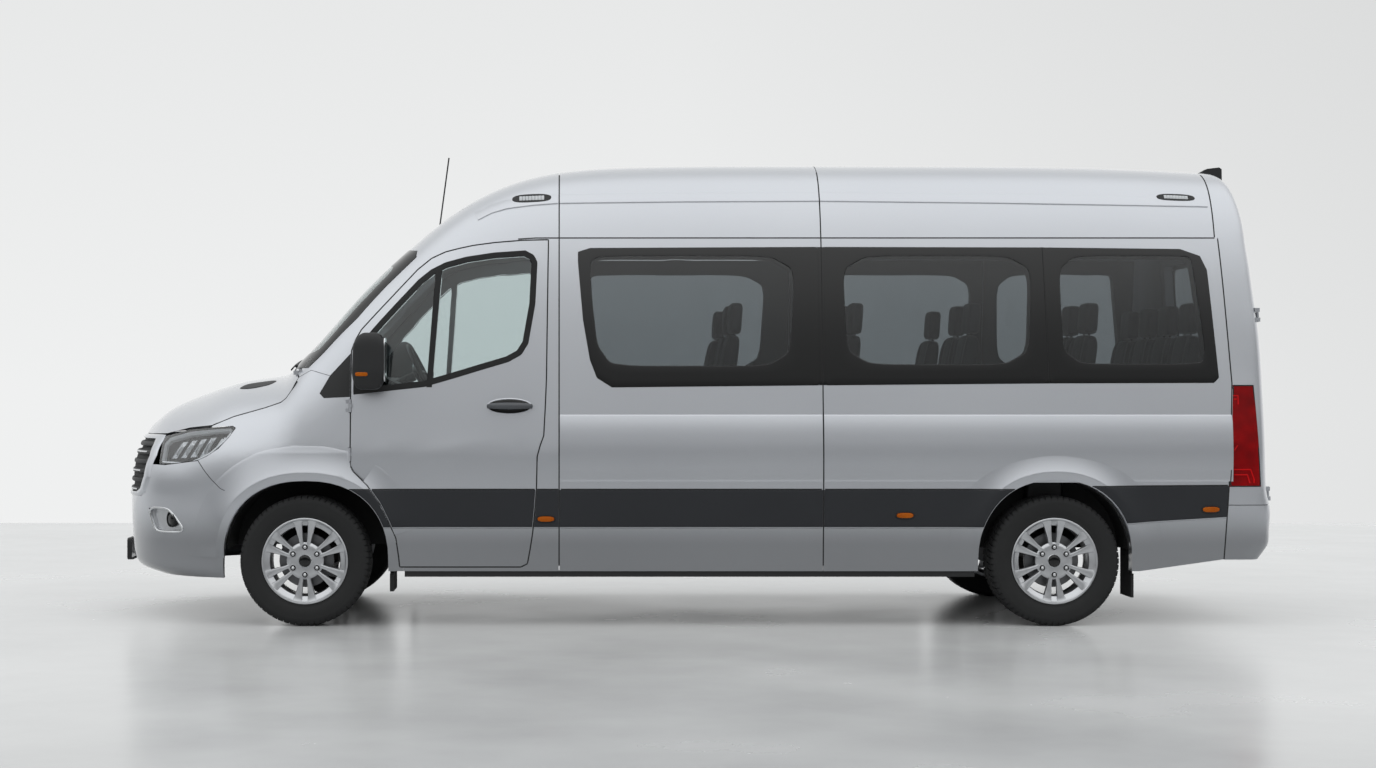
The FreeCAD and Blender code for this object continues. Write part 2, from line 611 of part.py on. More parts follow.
LIP_FOOT = [(REAR - 600, 806), (REAR + 600, 806), (REAR + 600, 1000), (REAR - 600, 1000)]
rear_lip = arch_lip(LIP_FOOT, skin, rear_arch)
save("side_panels_left", [panel_a, joined([panel_b, rear_lip])])
slide_hole = [(B_PILLAR_X + SEAM / 2 - 5, 396), (MID_SEAM_X, 396), (MID_SEAM_X, 2228),
              (B_PILLAR_X + SEAM / 2 - 5, 2228)]
slide_line = [(B_PILLAR_X + 5, 401), (MID_SEAM_X - 5, 401), (MID_SEAM_X - 5, 2223), (B_PILLAR_X + 5, 2223)]
right_line = [(B_PILLAR_X + SEAM / 2, SILL_Z)] + rear_line[1:-1] + [(B_PILLAR_X + SEAM / 2, GUTTER_Z)]
panel_r = shell.common(side_prism(right_line, *LEFT))
panel_r = panel_r.cut([side_prism(REAR_ARCH, *LEFT), side_prism(slide_hole, *LEFT)]
                      + holes[1] + holes[2])
save("side_panel_right", mirrored(joined([panel_r, rear_lip])))
slide = shell.common(side_prism(slide_line, *LEFT)).cut(holes[0])
save("sliding_door", mirrored(slide))
panes = [pane(g) for g, c in windows]
save("side_glass", panes + [mirrored(p) for p in panes])

roof_shell = layer(skin, 0, ROOF_WALL)
tail_x = BACK - 332
roof_parts = []
for x0, x1 in ((B_PILLAR_X + SEAM / 2, MID_SEAM_X - SEAM / 2), (MID_SEAM_X + SEAM / 2, tail_x)):
    roof_parts.append(roof_shell.common(box(x0, x1, *ACROSS, GUTTER_Z, ROOF_HEIGHT + 60)))
save("roof", roof_parts)

# The tail: corner posts and head, two doors, lamps and bumper.
tail_line = [(tail_x + 1, ROOF_HEIGHT + 50), (tail_x + 1, GUTTER_Z)] + \
    [(x + SEAM / 2, z) for x, z in REAR_SEAM[1:-1]] + [(BACK - 297, 702), (BACK + 113, 702),
                                                       (BACK + 113, ROOF_HEIGHT + 50)]
tail_shell = layer(back, 0, REAR_WALL)
tail_frame = tail_shell.common(side_prism(tail_line, *ACROSS))
TAIL_X = (BACK - 287, BACK + 113)
hole_r = [front_prism(REAR_DOOR, *TAIL_X, grow=REAR_DOOR_GAP / 2).cut(back(SKIN_LIP + CLEARANCE)),
          front_prism(REAR_DOOR, *TAIL_X, grow=-10)]
hole_r += [mirrored(s) for s in hole_r]
TAIL_LAMP = [(BACK - 260, 1392), (BACK - 137, 1392), (BACK - 102, 805), (BACK - 288, 805)]
lamp_hole = side_prism(TAIL_LAMP, -HALF - 100, -700)


def tail_x_at(y, z):
    u = min(abs(y) / half_width(BACK - 322, z), 0.9999)
    return TAIL_START + tail(z) * (1 - u ** TAIL_POWER) ** (1 / TAIL_POWER)


RH_Y = HALF - 160
rh_low, rh_high = (tail_x_at(RH_Y, 740) + 9, 740.0), (tail_x_at(RH_Y, 1800) + 9, 1800.0)
rh_tilt = (rh_high[0] - rh_low[0]) / (rh_high[1] - rh_low[1])
REAR_AXIS = (rh_tilt / math.hypot(1, rh_tilt), 0.0, 1 / math.hypot(1, rh_tilt))
REAR_HINGE = (rh_low[0], -RH_Y, rh_low[1])
tail_frame = tail_frame.cut(hole_r + [box(BACK - 187, BACK + 113, -16, 16, 610, 2420),
                                      lamp_hole, mirrored(lamp_hole)])
rear_hinges = [hinge_parts(on_line(REAR_HINGE, REAR_AXIS, d), REAR_AXIS, 9.0, 4.0, (26, 30))
               for d in (-20, 1020)]
tail_fixed, tail_moving, tail_room = [], [], []
for h in rear_hinges:
    tail_fixed.append(h[0])
    for i, j in ((0, 1), (4, 5)):
        p, q = V(*h[3][i]), V(*h[3][j])
        tail_fixed.append(box(p.x - 30, p.x - 1, -RH_Y - 46, -RH_Y - 1, p.z + 1, q.z - 1).cut(
            rod(h[3][0], h[3][5], 5.0)).cut(back(4)))
    p, q = V(*h[3][2]), V(*h[3][3])
    leaf = box(p.x - 30, p.x - 1, -RH_Y + 1, -RH_Y + 60, p.z + 1, q.z - 1)
    tail_moving.append(joined([h[1], leaf.cut(rod(h[3][0], h[3][5], 5.0)).cut(back(4))]))
    room = box(p.x - 60, p.x + 12, -RH_Y - 6, -RH_Y + 66, p.z - 3, q.z + 3)
    tail_room += [h[2], room.cut(back(4 + CLEARANCE))]
tail_frame = tail_frame.cut(tail_room + [mirrored(t) for t in tail_room])
tail_frame = joined([tail_frame] + tail_fixed + [mirrored(s) for s in tail_fixed])
save("rear_frame", tail_frame)
door_r_outline = front_prism(REAR_DOOR, *TAIL_X)
rebate_r = door_r_outline.cut(front_prism(REAR_DOOR, *TAIL_X, grow=-22)).common(back(SKIN_LIP))
door_r = slab(door_r_outline, back, 0, REAR_WALL).cut(
    [rebate_r, front_prism(REAR_DOOR_GLASS, *TAIL_X).cut(back(6)),
     front_prism(REAR_DOOR_GLASS, *TAIL_X, grow=-45)] + [h[2] for h in rear_hinges])
door_r = joined([door_r] + tail_moving)
pane_r = slab(front_prism(REAR_DOOR_GLASS, *TAIL_X, grow=-1), back, 0, GLASS)
for side, shape, glass in zip(("left", "right"), both(door_r), both(pane_r)):
    save("door_rear_" + side, shape)
    save("rear_glass_" + side, glass)
lamp_r = slab(side_prism(TAIL_LAMP, -HALF - 100, -700, grow=-1), back, 0, 58)
save("tail_lamps", both(lamp_r))
bumper_r = tail_shell.common(side_prism([(BACK - 311, 385), (BACK - 296, 698), (BACK + 113, 698),
                                         (BACK + 113, 385)], *ACROSS))
bumper_r = bumper_r.cut(box(BACK - 287, BACK + 113, 148 - HALF, HALF - 148, 590, 720))
save("rear_bumper", bumper_r)

# Floor, frame and running gear.
inside = skin(WALL)
near_doors = box(262, B_PILLAR_X - 15, -HALF + 120, HALF - 120, 0, 2000)
floor = inside.common(box(B_PILLAR_X - 15, BACK - 327, *ACROSS, FLOOR_Z, FLOOR_TOP))
floor = floor.fuse(near_doors.common(box(430, B_PILLAR_X - 15, *ACROSS, FLOOR_Z, FLOOR_TOP)))
bulkhead = side_prism([(430, FLOOR_Z), (500, FLOOR_Z), (500, FLOOR_TOP + 20), (380, 1000), (300, 1400),
                       (240, 1400), (320, 1000), (430, FLOOR_TOP)], *ACROSS)
floor = floor.fuse([bulkhead.common(near_doors),
                    bulkhead.common(inside).common(box(200, 262, *ACROSS, 0, 2000))])
LINER = 5.0
FRONT_LINER_Y = WHEEL_Y - 360
REAR_LINER_Y = WHEEL_Y - 170
wells = both(side_prism(rear_arch(20), -HALF, -(REAR_LINER_Y - CLEARANCE)))
wells += both(side_prism(front_arch(CLEARANCE), -HALF, -(FRONT_LINER_Y - CLEARANCE)))
runner = box(1640, REAR - 250, 20, 410, FLOOR_TOP, FLOOR_TOP + AISLE_RUNNER)
floor = joined([floor.cut(wells), runner])
save("floor", floor)


def liner_side(x, arch_of, y_in):
    # A thin arch with an inner wall, from the body's inner face to y_in.
    ring = side_prism(arch_of(), -(HALF + 50), -y_in)
    ring = ring.cut(side_prism(arch_of(-LINER), -(HALF + 51), -y_in - LINER))
    return ring.common(skin(WALL)).cut(box(x - 900, x + 900, *ACROSS, 0, 440))


ARM_HALF = 26.0
arm_room = box(-ARM_HALF - CLEARANCE, ARM_HALF + CLEARANCE, -FRONT_LINER_Y - 10, -FRONT_LINER_Y + 10,
               486 - CLEARANCE, 512 + CLEARANCE)
front_liner = liner_side(8, front_arch, FRONT_LINER_Y).cut(arm_room)
rear_liner = liner_side(REAR, rear_arch, REAR_LINER_Y)
flap_f = box(488, 510, -HALF + 70, -HALF + 320, 197, 440).cut(shell)
flap_r = box(REAR + 449, REAR + 465, -HALF + 70, -HALF + 300, 162, 440).cut(shell)
save("wheel_liners", both(front_liner) + both(rear_liner) + both(flap_f) + both(flap_r))

save("engine_block", box(-450, 180, -300, 300, 452, 1050))
rails = [box(TIP + 270, BACK - 107, y - 40, y + 40, 440, 560) for y in (-450, 450)]
rails += [box(x - 30, x + 30, -415, 415, z - 25, z) for x, z in (
    (-350, 452), (100, 452), (1000, 500), (2200, 500), (3300, 500), (BACK - 587, 500))]
beams = []
for x in (700, 1560, 2400, 3300, BACK - 727, BACK - 387):
    limit = near_doors if x < 1452 else inside
    beams.append(box(x - 35, x + 35, *ACROSS, BEAM_Z, FLOOR_Z).common(limit))
ends = [box(TIP + 250, TIP + 290, -520, 520, 430, 570),
        box(BACK - 127, BACK - 30, -520, 520, 430, 570).common(back(REAR_WALL + SEAT_GAP))]
save("chassis_frame", joined(rails + beams + ends))

pin = rod((0, -KINGPIN_Y, 236), (0, -KINGPIN_Y, 512), 12)
arms = [box(-ARM_HALF, ARM_HALF, -KINGPIN_Y, -440, 236, 262),
        rod((0, -KINGPIN_Y, 236), (0, -KINGPIN_Y, 262), ARM_HALF),
        box(-ARM_HALF, ARM_HALF, -KINGPIN_Y, -490, 486, 512),
        rod((0, -KINGPIN_Y, 486), (0, -KINGPIN_Y, 512), ARM_HALF),
        box(-40, 40, -470, -430, 236, 440), box(-40, 40, -470, 470, 236, 262), pin,
        rod((0, -KINGPIN_Y + 210, 250), (0, -KINGPIN_Y + 210, 500), 17),
        rod((0, -KINGPIN_Y + 210, 262), (0, -KINGPIN_Y + 210, 400), 30)]
side_arms = joined(arms)
save("front_suspension", joined([side_arms, mirrored(side_arms)]))
knuckle = joined([box(-34, 34, -835, -765, 268, 480),
                  rod((0, -830, TYRE_RADIUS), (0, -WHEEL_Y - 60, TYRE_RADIUS), SPINDLE_RADIUS)])
knuckle = knuckle.cut(rod((0, -KINGPIN_Y, 200), (0, -KINGPIN_Y, 600), 12 + RUNNING))
for side, shape in zip(("left", "right"), both(knuckle)):
    save("knuckle_" + side, shape)

axle = joined([rod((REAR, -835, TYRE_RADIUS), (REAR, 835, TYRE_RADIUS), 44),
               rod((REAR, -WHEEL_Y - 60, TYRE_RADIUS), (REAR, WHEEL_Y + 60, TYRE_RADIUS), SPINDLE_RADIUS),
               Part.makeSphere(135, V(REAR, 0, TYRE_RADIUS))]
              + [box(REAR - 50, REAR + 50, s * 560 - 30, s * 560 + 30, TYRE_RADIUS, 425) for s in (-1, 1)])
spring = [box(REAR - 620, REAR + 620, -590, -530, 425, 449)]
for x in (REAR - 600, REAR + 560):
    spring.append(box(x, x + 40, -590, -490, 449, 540))
save("rear_axle", [axle] + both(joined(spring)))

save("fuel_tank", joined([box(1500, 2500, -900, -540, 345, BEAM_Z), box(1600, 1640, -545, -490, 450, 500),
                          box(2360, 2400, -545, -490, 450, 500)]))
pipe = [rod((1200, 640, 430), (REAR - 560, 640, 430), 30), rod((2500, 640, 430), (3300, 640, 430), 85)]
pipe += [box(x, x + 20, 630, 650, 450, FLOOR_Z) for x in (1400, 2900, REAR - 640)]
save("exhaust", joined(pipe))
save("sills", both(box(576, REAR - 462, -HALF + 38, -HALF + 90, 285, SILL_Z)))

# Cabin.
dash = side_prism([(-20, 1440), (-10, 1400), (300, 1400), (378, 1010), (430, 1010), (510, 1150),
                   (570, 1300), (550, 1390), (440, 1440)], -HALF + 120, HALF - 120).common(skin(80))
save("dashboard", dash)
STEER = (640.0, -450.0, 1470.0)
STEER_AXIS = (math.cos(math.radians(26.6)), 0.0, math.sin(math.radians(26.6)))
column = rod(on_line(STEER, STEER_AXIS, -170), on_line(STEER, STEER_AXIS, -50), 28)
column = joined([column, rod(on_line(STEER, STEER_AXIS, -60), on_line(STEER, STEER_AXIS, -8), 12)])
column = column.cut(dash)
save("steering_column", column)
wheel = Part.makeTorus(178, 15, V(*STEER), V(*STEER_AXIS))
hub = rod(on_line(STEER, STEER_AXIS, -45), on_line(STEER, STEER_AXIS, 0), 48)
spokes = [rod(STEER, on_line(STEER, d, 176), 11) for d in
          ((0, 1, 0), (0, -1, 0), (math.sin(math.radians(26.6)), 0, -math.cos(math.radians(26.6))))]
wheel = joined([wheel, hub] + spokes).cut(rod(on_line(STEER, STEER_AXIS, -80),
                                            on_line(STEER, STEER_AXIS, -7.5), 12 + RUNNING))
save("steering_wheel", wheel)


def seat(x, y, width=420.0, base=FLOOR_TOP, leg=True):
    front_x = x - 380
    cushion = box(front_x, x + 60, y - width / 2, y + width / 2, base + 330, base + 450)
    rear = side_prism([(x - 40, base + 400), (x + 60, base + 400), (x + 150, base + 1010),
                       (x + 70, base + 1010)], y - width / 2, y + width / 2)
    head = side_prism([(x + 76, base + 1010), (x + 146, base + 1010), (x + 165, base + 1200),
                       (x + 75, base + 1200)], y - 130, y + 130)
    post = box(x - 280, x - 60, y - 150, y + 150, base, base + 330)
    return joined([cushion, rear, head, post])


seats = [seat(1400, -450, 500), seat(1400, 450, 500)]
save("cab_seats", seats)
rows = []
for x in (2390, 3100, 3790):
    rows += [seat(x, -640), seat(x, -212), seat(x, 640)]
x = REAR + 160
rows += [seat(x, -425, 840), seat(x, 480)]
rows += [seat(BACK - 527, y) for y in (-640, -212, 212, 640)]
save("passenger_seats", rows)

# Small outside pieces.
lamps = [side_prism([(x - 38, z - 10), (x + 38, z - 10), (x + 38, z + 10), (x - 38, z + 10)], *LEFT)
         for x, z in ((1391, 620), (3457, 641), (BACK - 395, 675))]
lamps += [side_prism([(x0, z - 9), (x1, z - 9), (x1, z + 9), (x0, z + 9)], *LEFT)
          for x0, x1, z in ((1191, 1419, 2490), (BACK - 645, BACK - 423, 2490))]
marks = [slab(s, skin, -8, 0) for s in lamps]
save("marker_lamps", [m for s in marks for m in both(s)])
mast = joined([rod((712, 0, ridge(712) - 4), (777, 0, 2812), 4.5),
               Part.makeCone(34, 16, 48, V(705, 0, ridge(705) - 20), V(0, 0, 1))]).cut(skin(0))
# A small dark pod on the rear edge of the roof.
pod = side_prism([(BACK - 306, 2640), (BACK - 294, 2668), (BACK - 252, 2692), (BACK - 182, 2700),
                  (BACK - 166, 2690), (BACK - 164, 2560)], -482, -418).cut(back(0))
save("roof_antenna", [mast, pod])


def on_glass(y, z, lift):
    # The point of the windscreen at y and z, lifted off its surface.
    lo, hi = -400.0, 900.0
    for _ in range(50):
        mid = (lo + hi) / 2
        if z < ridge(mid) and abs(y) < half_width(mid, z):
            hi = mid
        else:
            lo = mid
    return (hi - lift * 0.72, y, z + lift * 0.69)


wipers = []
for y0, y1 in ((-610, 60), (60, 700)):
    ends = [on_glass(y0 + (y1 - y0) * k / 6, 1500 + 60 * k / 6, 6.3) for k in range(7)]
    wipers.append(joined([rod(a, b, 6) for a, b in zip(ends, ends[1:])]
                         + [Part.makeSphere(6, V(*p)) for p in ends[1:-1]]))
save("wipers", [w.cut(skin(0)) for w in wipers])

# Wheels. The profile turns about Y; the left wheel's outer face looks to -Y.
TYRE = [(BEAD_RADIUS, 104), (250, 107), (280, 118), (318, TYRE_WIDTH / 2), (345, 121), (366, 112),
        (TYRE_RADIUS, 90)]
TYRE_INSIDE = [(356, 80), (350, 98), (318, 108), (280, 104), (252, 94), (BEAD_RADIUS, 92)]
profile = (TYRE + [(r, -y) for r, y in reversed(TYRE)] + [(r, -y) for r, y in reversed(TYRE_INSIDE)]
           + TYRE_INSIDE)


def turned(points):
    outline = Part.Face(Part.makePolygon([V(r, y, 0) for r, y in points + points[:1]]))
    return outline.revolve(V(0, 0, 0), V(0, 1, 0), 360)


RIM = [(BEAD_RADIUS - SEAT_GAP, -108.5), (246, -109), (246, -114), (226, -114), (222, -100), (222, 106),
       (226, 114), (246, 114), (246, 109), (BEAD_RADIUS - SEAT_GAP, 108.5)]
DISC = [(0, -97), (88, -98), (104, -96), (128, -97), (180, -100), (223, -106), (223, -80), (180, -72),
        (104, -66), (0, -66)]
WINDOW = [(112, -22), (112, 22), (204, 46), (216, 34), (216, -34), (204, -46)]
SLOT = [(110, -11), (110, 11), (214, 17), (214, -17)]


def around(points, angle):
    # An outline given as radius and offset, turned about the axle, as points of the side view.
    c, t = math.cos(angle), math.sin(angle)
    return [(r * c - w * t, r * t + w * c) for r, w in points]


def cast_wheel():
    """A dished disc with paired spokes, nuts in their pockets, a cap and a brake disc, about the origin."""
    cuts, nuts = [], []
    for k in range(NUTS):
        a = 2 * math.pi * k / NUTS + math.pi / 2
        cuts.append(side_prism(around(WINDOW, a + math.pi / NUTS), -130, -50))
        cuts.append(side_prism(around(SLOT, a), -130, -50))
        x, z = around([(NUT_CIRCLE, 0)], a)[0]
        cuts.append(rod((x, -120, z), (x, -88, z), 16))
        corners = [(x + 10.5 * math.cos(math.radians(60 * j)), z + 10.5 * math.sin(math.radians(60 * j)))
                   for j in range(6)]
        nuts.append(side_prism(corners, -104, -86))
    shape = turned(DISC).cut(cuts)
    shape = joined([shape, turned(RIM), rod((0, -102, 0), (0, -90, 0), CAP_RADIUS),
                    rod((0, -90, 0), (0, 14, 0), 72), rod((0, -10, 0), (0, 14, 0), 158)] + nuts)
    return shape.cut(rod((0, -61, 0), (0, 40, 0), SPINDLE_RADIUS + RUNNING))


tyre, rim = turned(profile), cast_wheel()
for end, x in (("front", 0.0), ("rear", REAR)):
    place = V(x, -WHEEL_Y, TYRE_RADIUS)
    for kind, shape in (("tyre", tyre), ("rim", rim)):
        here = shape.copy()
        here.translate(place)
        for side, item in zip(("left", "right"), both(here)):
            save("%s_%s_%s" % (kind, end, side), item)
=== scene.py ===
# %% [markdown]
# # A silver minibus, dressed around its CAD model
#
# The CAD model gives the body, doors, glass, wheels and running gear their size and place. This lesson adds what the
# eye expects on top of it: paint, tinted glass with its black printed border, rubber, lamps with something in them,
# tyres with a tread, wheels with real spokes, and padded seats.
# Two ideas carry it. The first is that the body's skin can be written as a formula, so any trim can be laid on it by
# its place in the side, front or rear view. The second is that each piece is a grid of points worked out with numpy.

# %% Tools and frame
import math

import bmesh
import bpy
import numpy as np
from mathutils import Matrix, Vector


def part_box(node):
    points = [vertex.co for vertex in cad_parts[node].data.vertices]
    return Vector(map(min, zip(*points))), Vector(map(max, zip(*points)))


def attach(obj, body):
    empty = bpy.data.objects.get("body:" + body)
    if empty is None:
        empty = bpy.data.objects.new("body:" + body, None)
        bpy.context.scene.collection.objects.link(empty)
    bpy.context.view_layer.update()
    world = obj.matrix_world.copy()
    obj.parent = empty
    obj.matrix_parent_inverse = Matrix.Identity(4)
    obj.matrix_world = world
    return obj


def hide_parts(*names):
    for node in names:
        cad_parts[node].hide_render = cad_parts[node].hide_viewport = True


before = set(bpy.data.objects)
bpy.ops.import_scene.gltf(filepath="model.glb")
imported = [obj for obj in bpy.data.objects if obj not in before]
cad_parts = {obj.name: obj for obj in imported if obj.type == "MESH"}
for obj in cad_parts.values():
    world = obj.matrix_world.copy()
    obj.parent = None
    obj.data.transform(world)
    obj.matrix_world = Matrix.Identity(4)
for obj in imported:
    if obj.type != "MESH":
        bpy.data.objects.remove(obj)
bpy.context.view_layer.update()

wheel_low, wheel_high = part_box("tyre_front_left")
rear_low, rear_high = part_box("tyre_rear_left")
front_axle = (wheel_low.x + wheel_high.x) / 2
wheelbase = ((rear_low.x + rear_high.x) / 2 - front_axle) * 1000
track_half = -(wheel_low.y + wheel_high.y) / 2 * 1000
tyre_radius = (wheel_high.z - wheel_low.z) / 2 * 1000
half_body = 1010.0
roof_height = 2715.0
print("wheelbase %.0f mm, half track %.1f mm, tyre radius %.1f mm" % (wheelbase, track_half, tyre_radius))

# %% [markdown]
# ## Camera
#
# The photograph looks square at the vehicle's left side from eye height, through a short telephoto lens. A camera
# that stands where the photographer stood gives the same overlap of near and far windows, which a longer lens would
# lose. Its shift puts the vehicle where it sits in the picture, without turning the camera.

# %% Camera
camera = bpy.data.objects.new("photograph_camera", bpy.data.cameras.new("photograph_camera"))
bpy.context.scene.collection.objects.link(camera)
camera.location = (-0.72017, -12.81, 1.351)
camera.rotation_euler = (math.pi / 2, 0, 0)
camera.data.sensor_width = 36.0
camera.data.lens = 53.69
camera.data.shift_x = 0.0894
camera.data.shift_y = 0.0058
camera.data.clip_end = 200
bpy.context.scene.camera = camera
bpy.context.scene.view_settings.view_transform = "Standard"
print("camera at", tuple(camera.location))

# %% [markdown]
# ## Colours and shader nodes
#
# A colour picked on a screen is sRGB, while a renderer adds light in linear numbers, so one function turns the first
# into the second. One more small function adds a node of any kind, fills its sockets and links its output, which
# keeps every material below short enough to read. Most surfaces also drift a little in tone: `mottled` gives that.


# %% Helpers for materials
def linear(code):
    """An sRGB hex colour as linear RGBA: c/12.92 for dark channels, ((c+0.055)/1.055)^2.4 for the others."""
    c = np.array([int(code[i:i + 2], 16) for i in (1, 3, 5)]) / 255
    c = np.where(c <= 0.04045, c / 12.92, ((c + 0.055) / 1.055) ** 2.4)
    return (float(c[0]), float(c[1]), float(c[2]), 1.0)


def add(tree, kind, inputs=(), into=None, **settings):
    """Adds one node. Settings are its own fields, inputs are numbers, colours or other nodes' sockets, and its
    output is linked into the given socket. A node that mixes colours gives them at its third output."""
    node = tree.nodes.new(kind)
    for field, value in settings.items():
        setattr(node, field, value)
    for socket, value in dict(inputs).items():
        if isinstance(value, bpy.types.NodeSocket):
            tree.links.new(value, node.inputs[socket])
        else:
            node.inputs[socket].default_value = value
    if into is not None:
        tree.links.new(node.outputs[2 if settings.get("data_type") == "RGBA" else 0], into)
    return node


def finish(name, color, roughness, **sockets):
    """A new material with its shader's constant numbers set: returns it, its tree, shader and object coordinates."""
    material = bpy.data.materials.new(name)
    material.use_nodes = True
    tree = material.node_tree
    shader = tree.nodes["Principled BSDF"]
    shader.inputs["Base Color"].default_value = linear(color)
    shader.inputs["Roughness"].default_value = roughness
    for socket, value in sockets.items():
        shader.inputs[socket.replace("_", " ").title().replace("Ior", "IOR")].default_value = value
    place = add(tree, "ShaderNodeTexCoord").outputs["Object"]
    return material, tree, shader, place


def mottled(tree, shader, place, color_a, color_b, size_mm, detail=3.0, spread=None):
    """Colour that drifts between two close tones over patches of the given size. Where spread is given, the
    roughness drifts with it between the two values."""
    noise = add(tree, "ShaderNodeTexNoise", {"Vector": place, "Scale": 1000 / size_mm, "Detail": detail})
    add(tree, "ShaderNodeMix", {0: noise.outputs["Fac"], 6: linear(color_a), 7: linear(color_b)},
        shader.inputs["Base Color"], data_type="RGBA")
    if spread:
        add(tree, "ShaderNodeMapRange", {"Value": noise.outputs["Fac"], "To Min": spread[0], "To Max": spread[1]},
            shader.inputs["Roughness"])
    return noise


print("mid grey #808080 in linear light: %.3f" % linear("#808080")[0])

# %% [markdown]
# ## Body paint
#
# Metallic silver is aluminium flake in a clear binder under a lacquer. The flake lies flat but not perfectly, which
# gives broad soft highlights that fall off fast towards the edges, and the lacquer adds a second, sharp reflection.
# A metallic base with middling roughness and a full coat gives both. Real flake is 20 to 50 micrometres, far too fine
# to show here, so it is drawn as 1.5 mm sparkle, and the lacquer gets its slight orange peel at about 6 mm.
# From the rubbing band downwards the paint is mixed towards a dark grey, as painted shade of the lower side. Its
# share grows smoothly with the height that falls below 0.7 m, so the sills and the bumpers' lower edges come out
# darker than the doors.

# %% Silver paint
paint, tree, shader, place = finish("paint_silver_metallic_lacquered", "#bcbfc5", 0.34, metallic=0.74,
                                    coat_weight=1.0, coat_roughness=0.04)
flake = add(tree, "ShaderNodeTexVoronoi", {"Vector": place, "Scale": 1000 / 1.5})
drift = add(tree, "ShaderNodeTexNoise", {"Vector": place, "Scale": 1000 / 900, "Detail": 2.0})
tone = add(tree, "ShaderNodeMix", {0: drift.outputs["Fac"], 6: linear("#b8bbc1"), 7: linear("#c0c3c8")},
           data_type="RGBA")
spark = add(tree, "ShaderNodeMix", {0: 0.05, 6: tone.outputs[2], 7: flake.outputs["Color"]},
            data_type="RGBA", blend_type="SOFT_LIGHT")
# Painted shade: below 0.7 m the paint is mixed towards dark grey, up to 72 % at 0.46 m and lower
height = add(tree, "ShaderNodeSeparateXYZ", {"Vector": place}).outputs["Z"]
low_body_painted_shade = add(tree, "ShaderNodeMapRange", {"Value": height, "From Min": 0.70, "From Max": 0.46, "To Max": 0.72},
           interpolation_type="SMOOTHSTEP")
add(tree, "ShaderNodeMix", {0: low_body_painted_shade.outputs["Result"], 6: spark.outputs[2], 7: linear("#696b6e")},
    shader.inputs["Base Color"], data_type="RGBA")
add(tree, "ShaderNodeMapRange", {"Value": flake.outputs["Distance"], "To Min": 0.3, "To Max": 0.38},
    shader.inputs["Roughness"])
peel = add(tree, "ShaderNodeTexNoise", {"Vector": place, "Scale": 1000 / 6, "Detail": 1.0})
add(tree, "ShaderNodeBump", {"Height": peel.outputs["Fac"], "Distance": 0.02 / 1000, "Strength": 0.25},
    shader.inputs["Normal"])
print("paint made")

# %% [markdown]
# ## Glass
#
# The side panes are toughened glass dyed in the melt, which takes about half of the light. Windscreen and cab door
# glass are nearly clear, with the faint green of iron. The dye is given as the colour that light takes at each face,
# so a pane of two faces darkens twice. A trace of wash marks breaks the reflection's edge.


# %% Tinted and clear glass
def smudged(tree, shader, place, size_mm, low, high, detail=3.0):
    """Roughness that drifts between two values over patches of the given size, as wiping and weather leave it."""
    noise = add(tree, "ShaderNodeTexNoise", {"Vector": place, "Scale": 1000 / size_mm, "Detail": detail})
    add(tree, "ShaderNodeMapRange", {"Value": noise.outputs["Fac"], "To Min": low, "To Max": high},
        shader.inputs["Roughness"])


glass = {}
for name, color, size_mm in (("glass_dyed_toughened", "#9da3a6", 400), ("glass_clear_laminated", "#dce5e5", 500)):
    made, tree, shader, place = finish(name, color, 0.01, ior=1.52, transmission_weight=1.0)
    smudged(tree, shader, place, size_mm, 0.0, 0.02, 5.0)
    glass[name] = made
tinted, clear_glass = glass.values()
print("panes:", *glass)

# %% [markdown]
# ## Plastics, rubber and printed border
#
# Three black finishes sit side by side on a van and the eye tells them apart by gloss alone: the ceramic border baked
# on the glass is as shiny as the glass, rubber seals are matt, and moulded ABS has a fine leather-like grain that
# scatters light. The lower rubbing band is dyed anthracite, a little lighter than the seals.


# %% Black finishes
def moulded(name, color, roughness, tones, patch_mm, spread, grain_mm, depth_mm, strength, **sockets):
    """Moulded skin: a drifting tone with the roughness that goes with it, over leather-like cells of grain_mm."""
    made, tree, shader, place = finish(name, color, roughness, **sockets)
    mottled(tree, shader, place, *tones, patch_mm, spread=spread)
    grain = add(tree, "ShaderNodeTexVoronoi", {"Vector": place, "Scale": 1000 / grain_mm})
    add(tree, "ShaderNodeBump", {"Height": grain.outputs["Distance"], "Distance": depth_mm / 1000,
                                 "Strength": strength}, shader.inputs["Normal"])
    return made


border, tree, shader, place = finish("ceramic_border_gloss_black", "#060708", 0.06, ior=1.5)
smudged(tree, shader, place, 300, 0.03, 0.09, 4.0)

rubber, tree, shader, place = finish("rubber_epdm_moulded_matt", "#0f1011", 0.75)
mottled(tree, shader, place, "#0d0e0f", "#151617", 120)
fine = add(tree, "ShaderNodeTexNoise", {"Vector": place, "Scale": 1000 / 2.5, "Detail": 3.0})
add(tree, "ShaderNodeBump", {"Height": fine.outputs["Fac"], "Distance": 0.15 / 1000, "Strength": 0.35},
    shader.inputs["Normal"])

grained = moulded("plastic_abs_grained_black", "#131416", 0.55, ("#111214", "#191a1c"), 260, (0.48, 0.64),
                  2.2, 0.2, 0.35)
anthracite = moulded("plastic_pp_anthracite_band", "#212327", 0.55, ("#1f2125", "#26282c"), 500, (0.5, 0.6),
                     2.0, 0.1, 0.25, specular_ior_level=0.35)

handle_grey, tree, shader, place = finish("plastic_abs_satin_grey", "#4a4d51", 0.35)
mottled(tree, shader, place, "#46494d", "#505357", 60, spread=(0.3, 0.42))
print("black finishes made")

# %% [markdown]
# ## Metals and underbody
#
# Under the floor nothing is polished. Rails and axles carry satin chassis paint with road dust on it, castings show
# the rough skin of the sand mould, and the silencer is aluminised sheet. The wheels are cast alloy, painted silver
# under lacquer, and lamp reflectors are plastic with aluminium evaporated on, the only true mirrors on the vehicle.

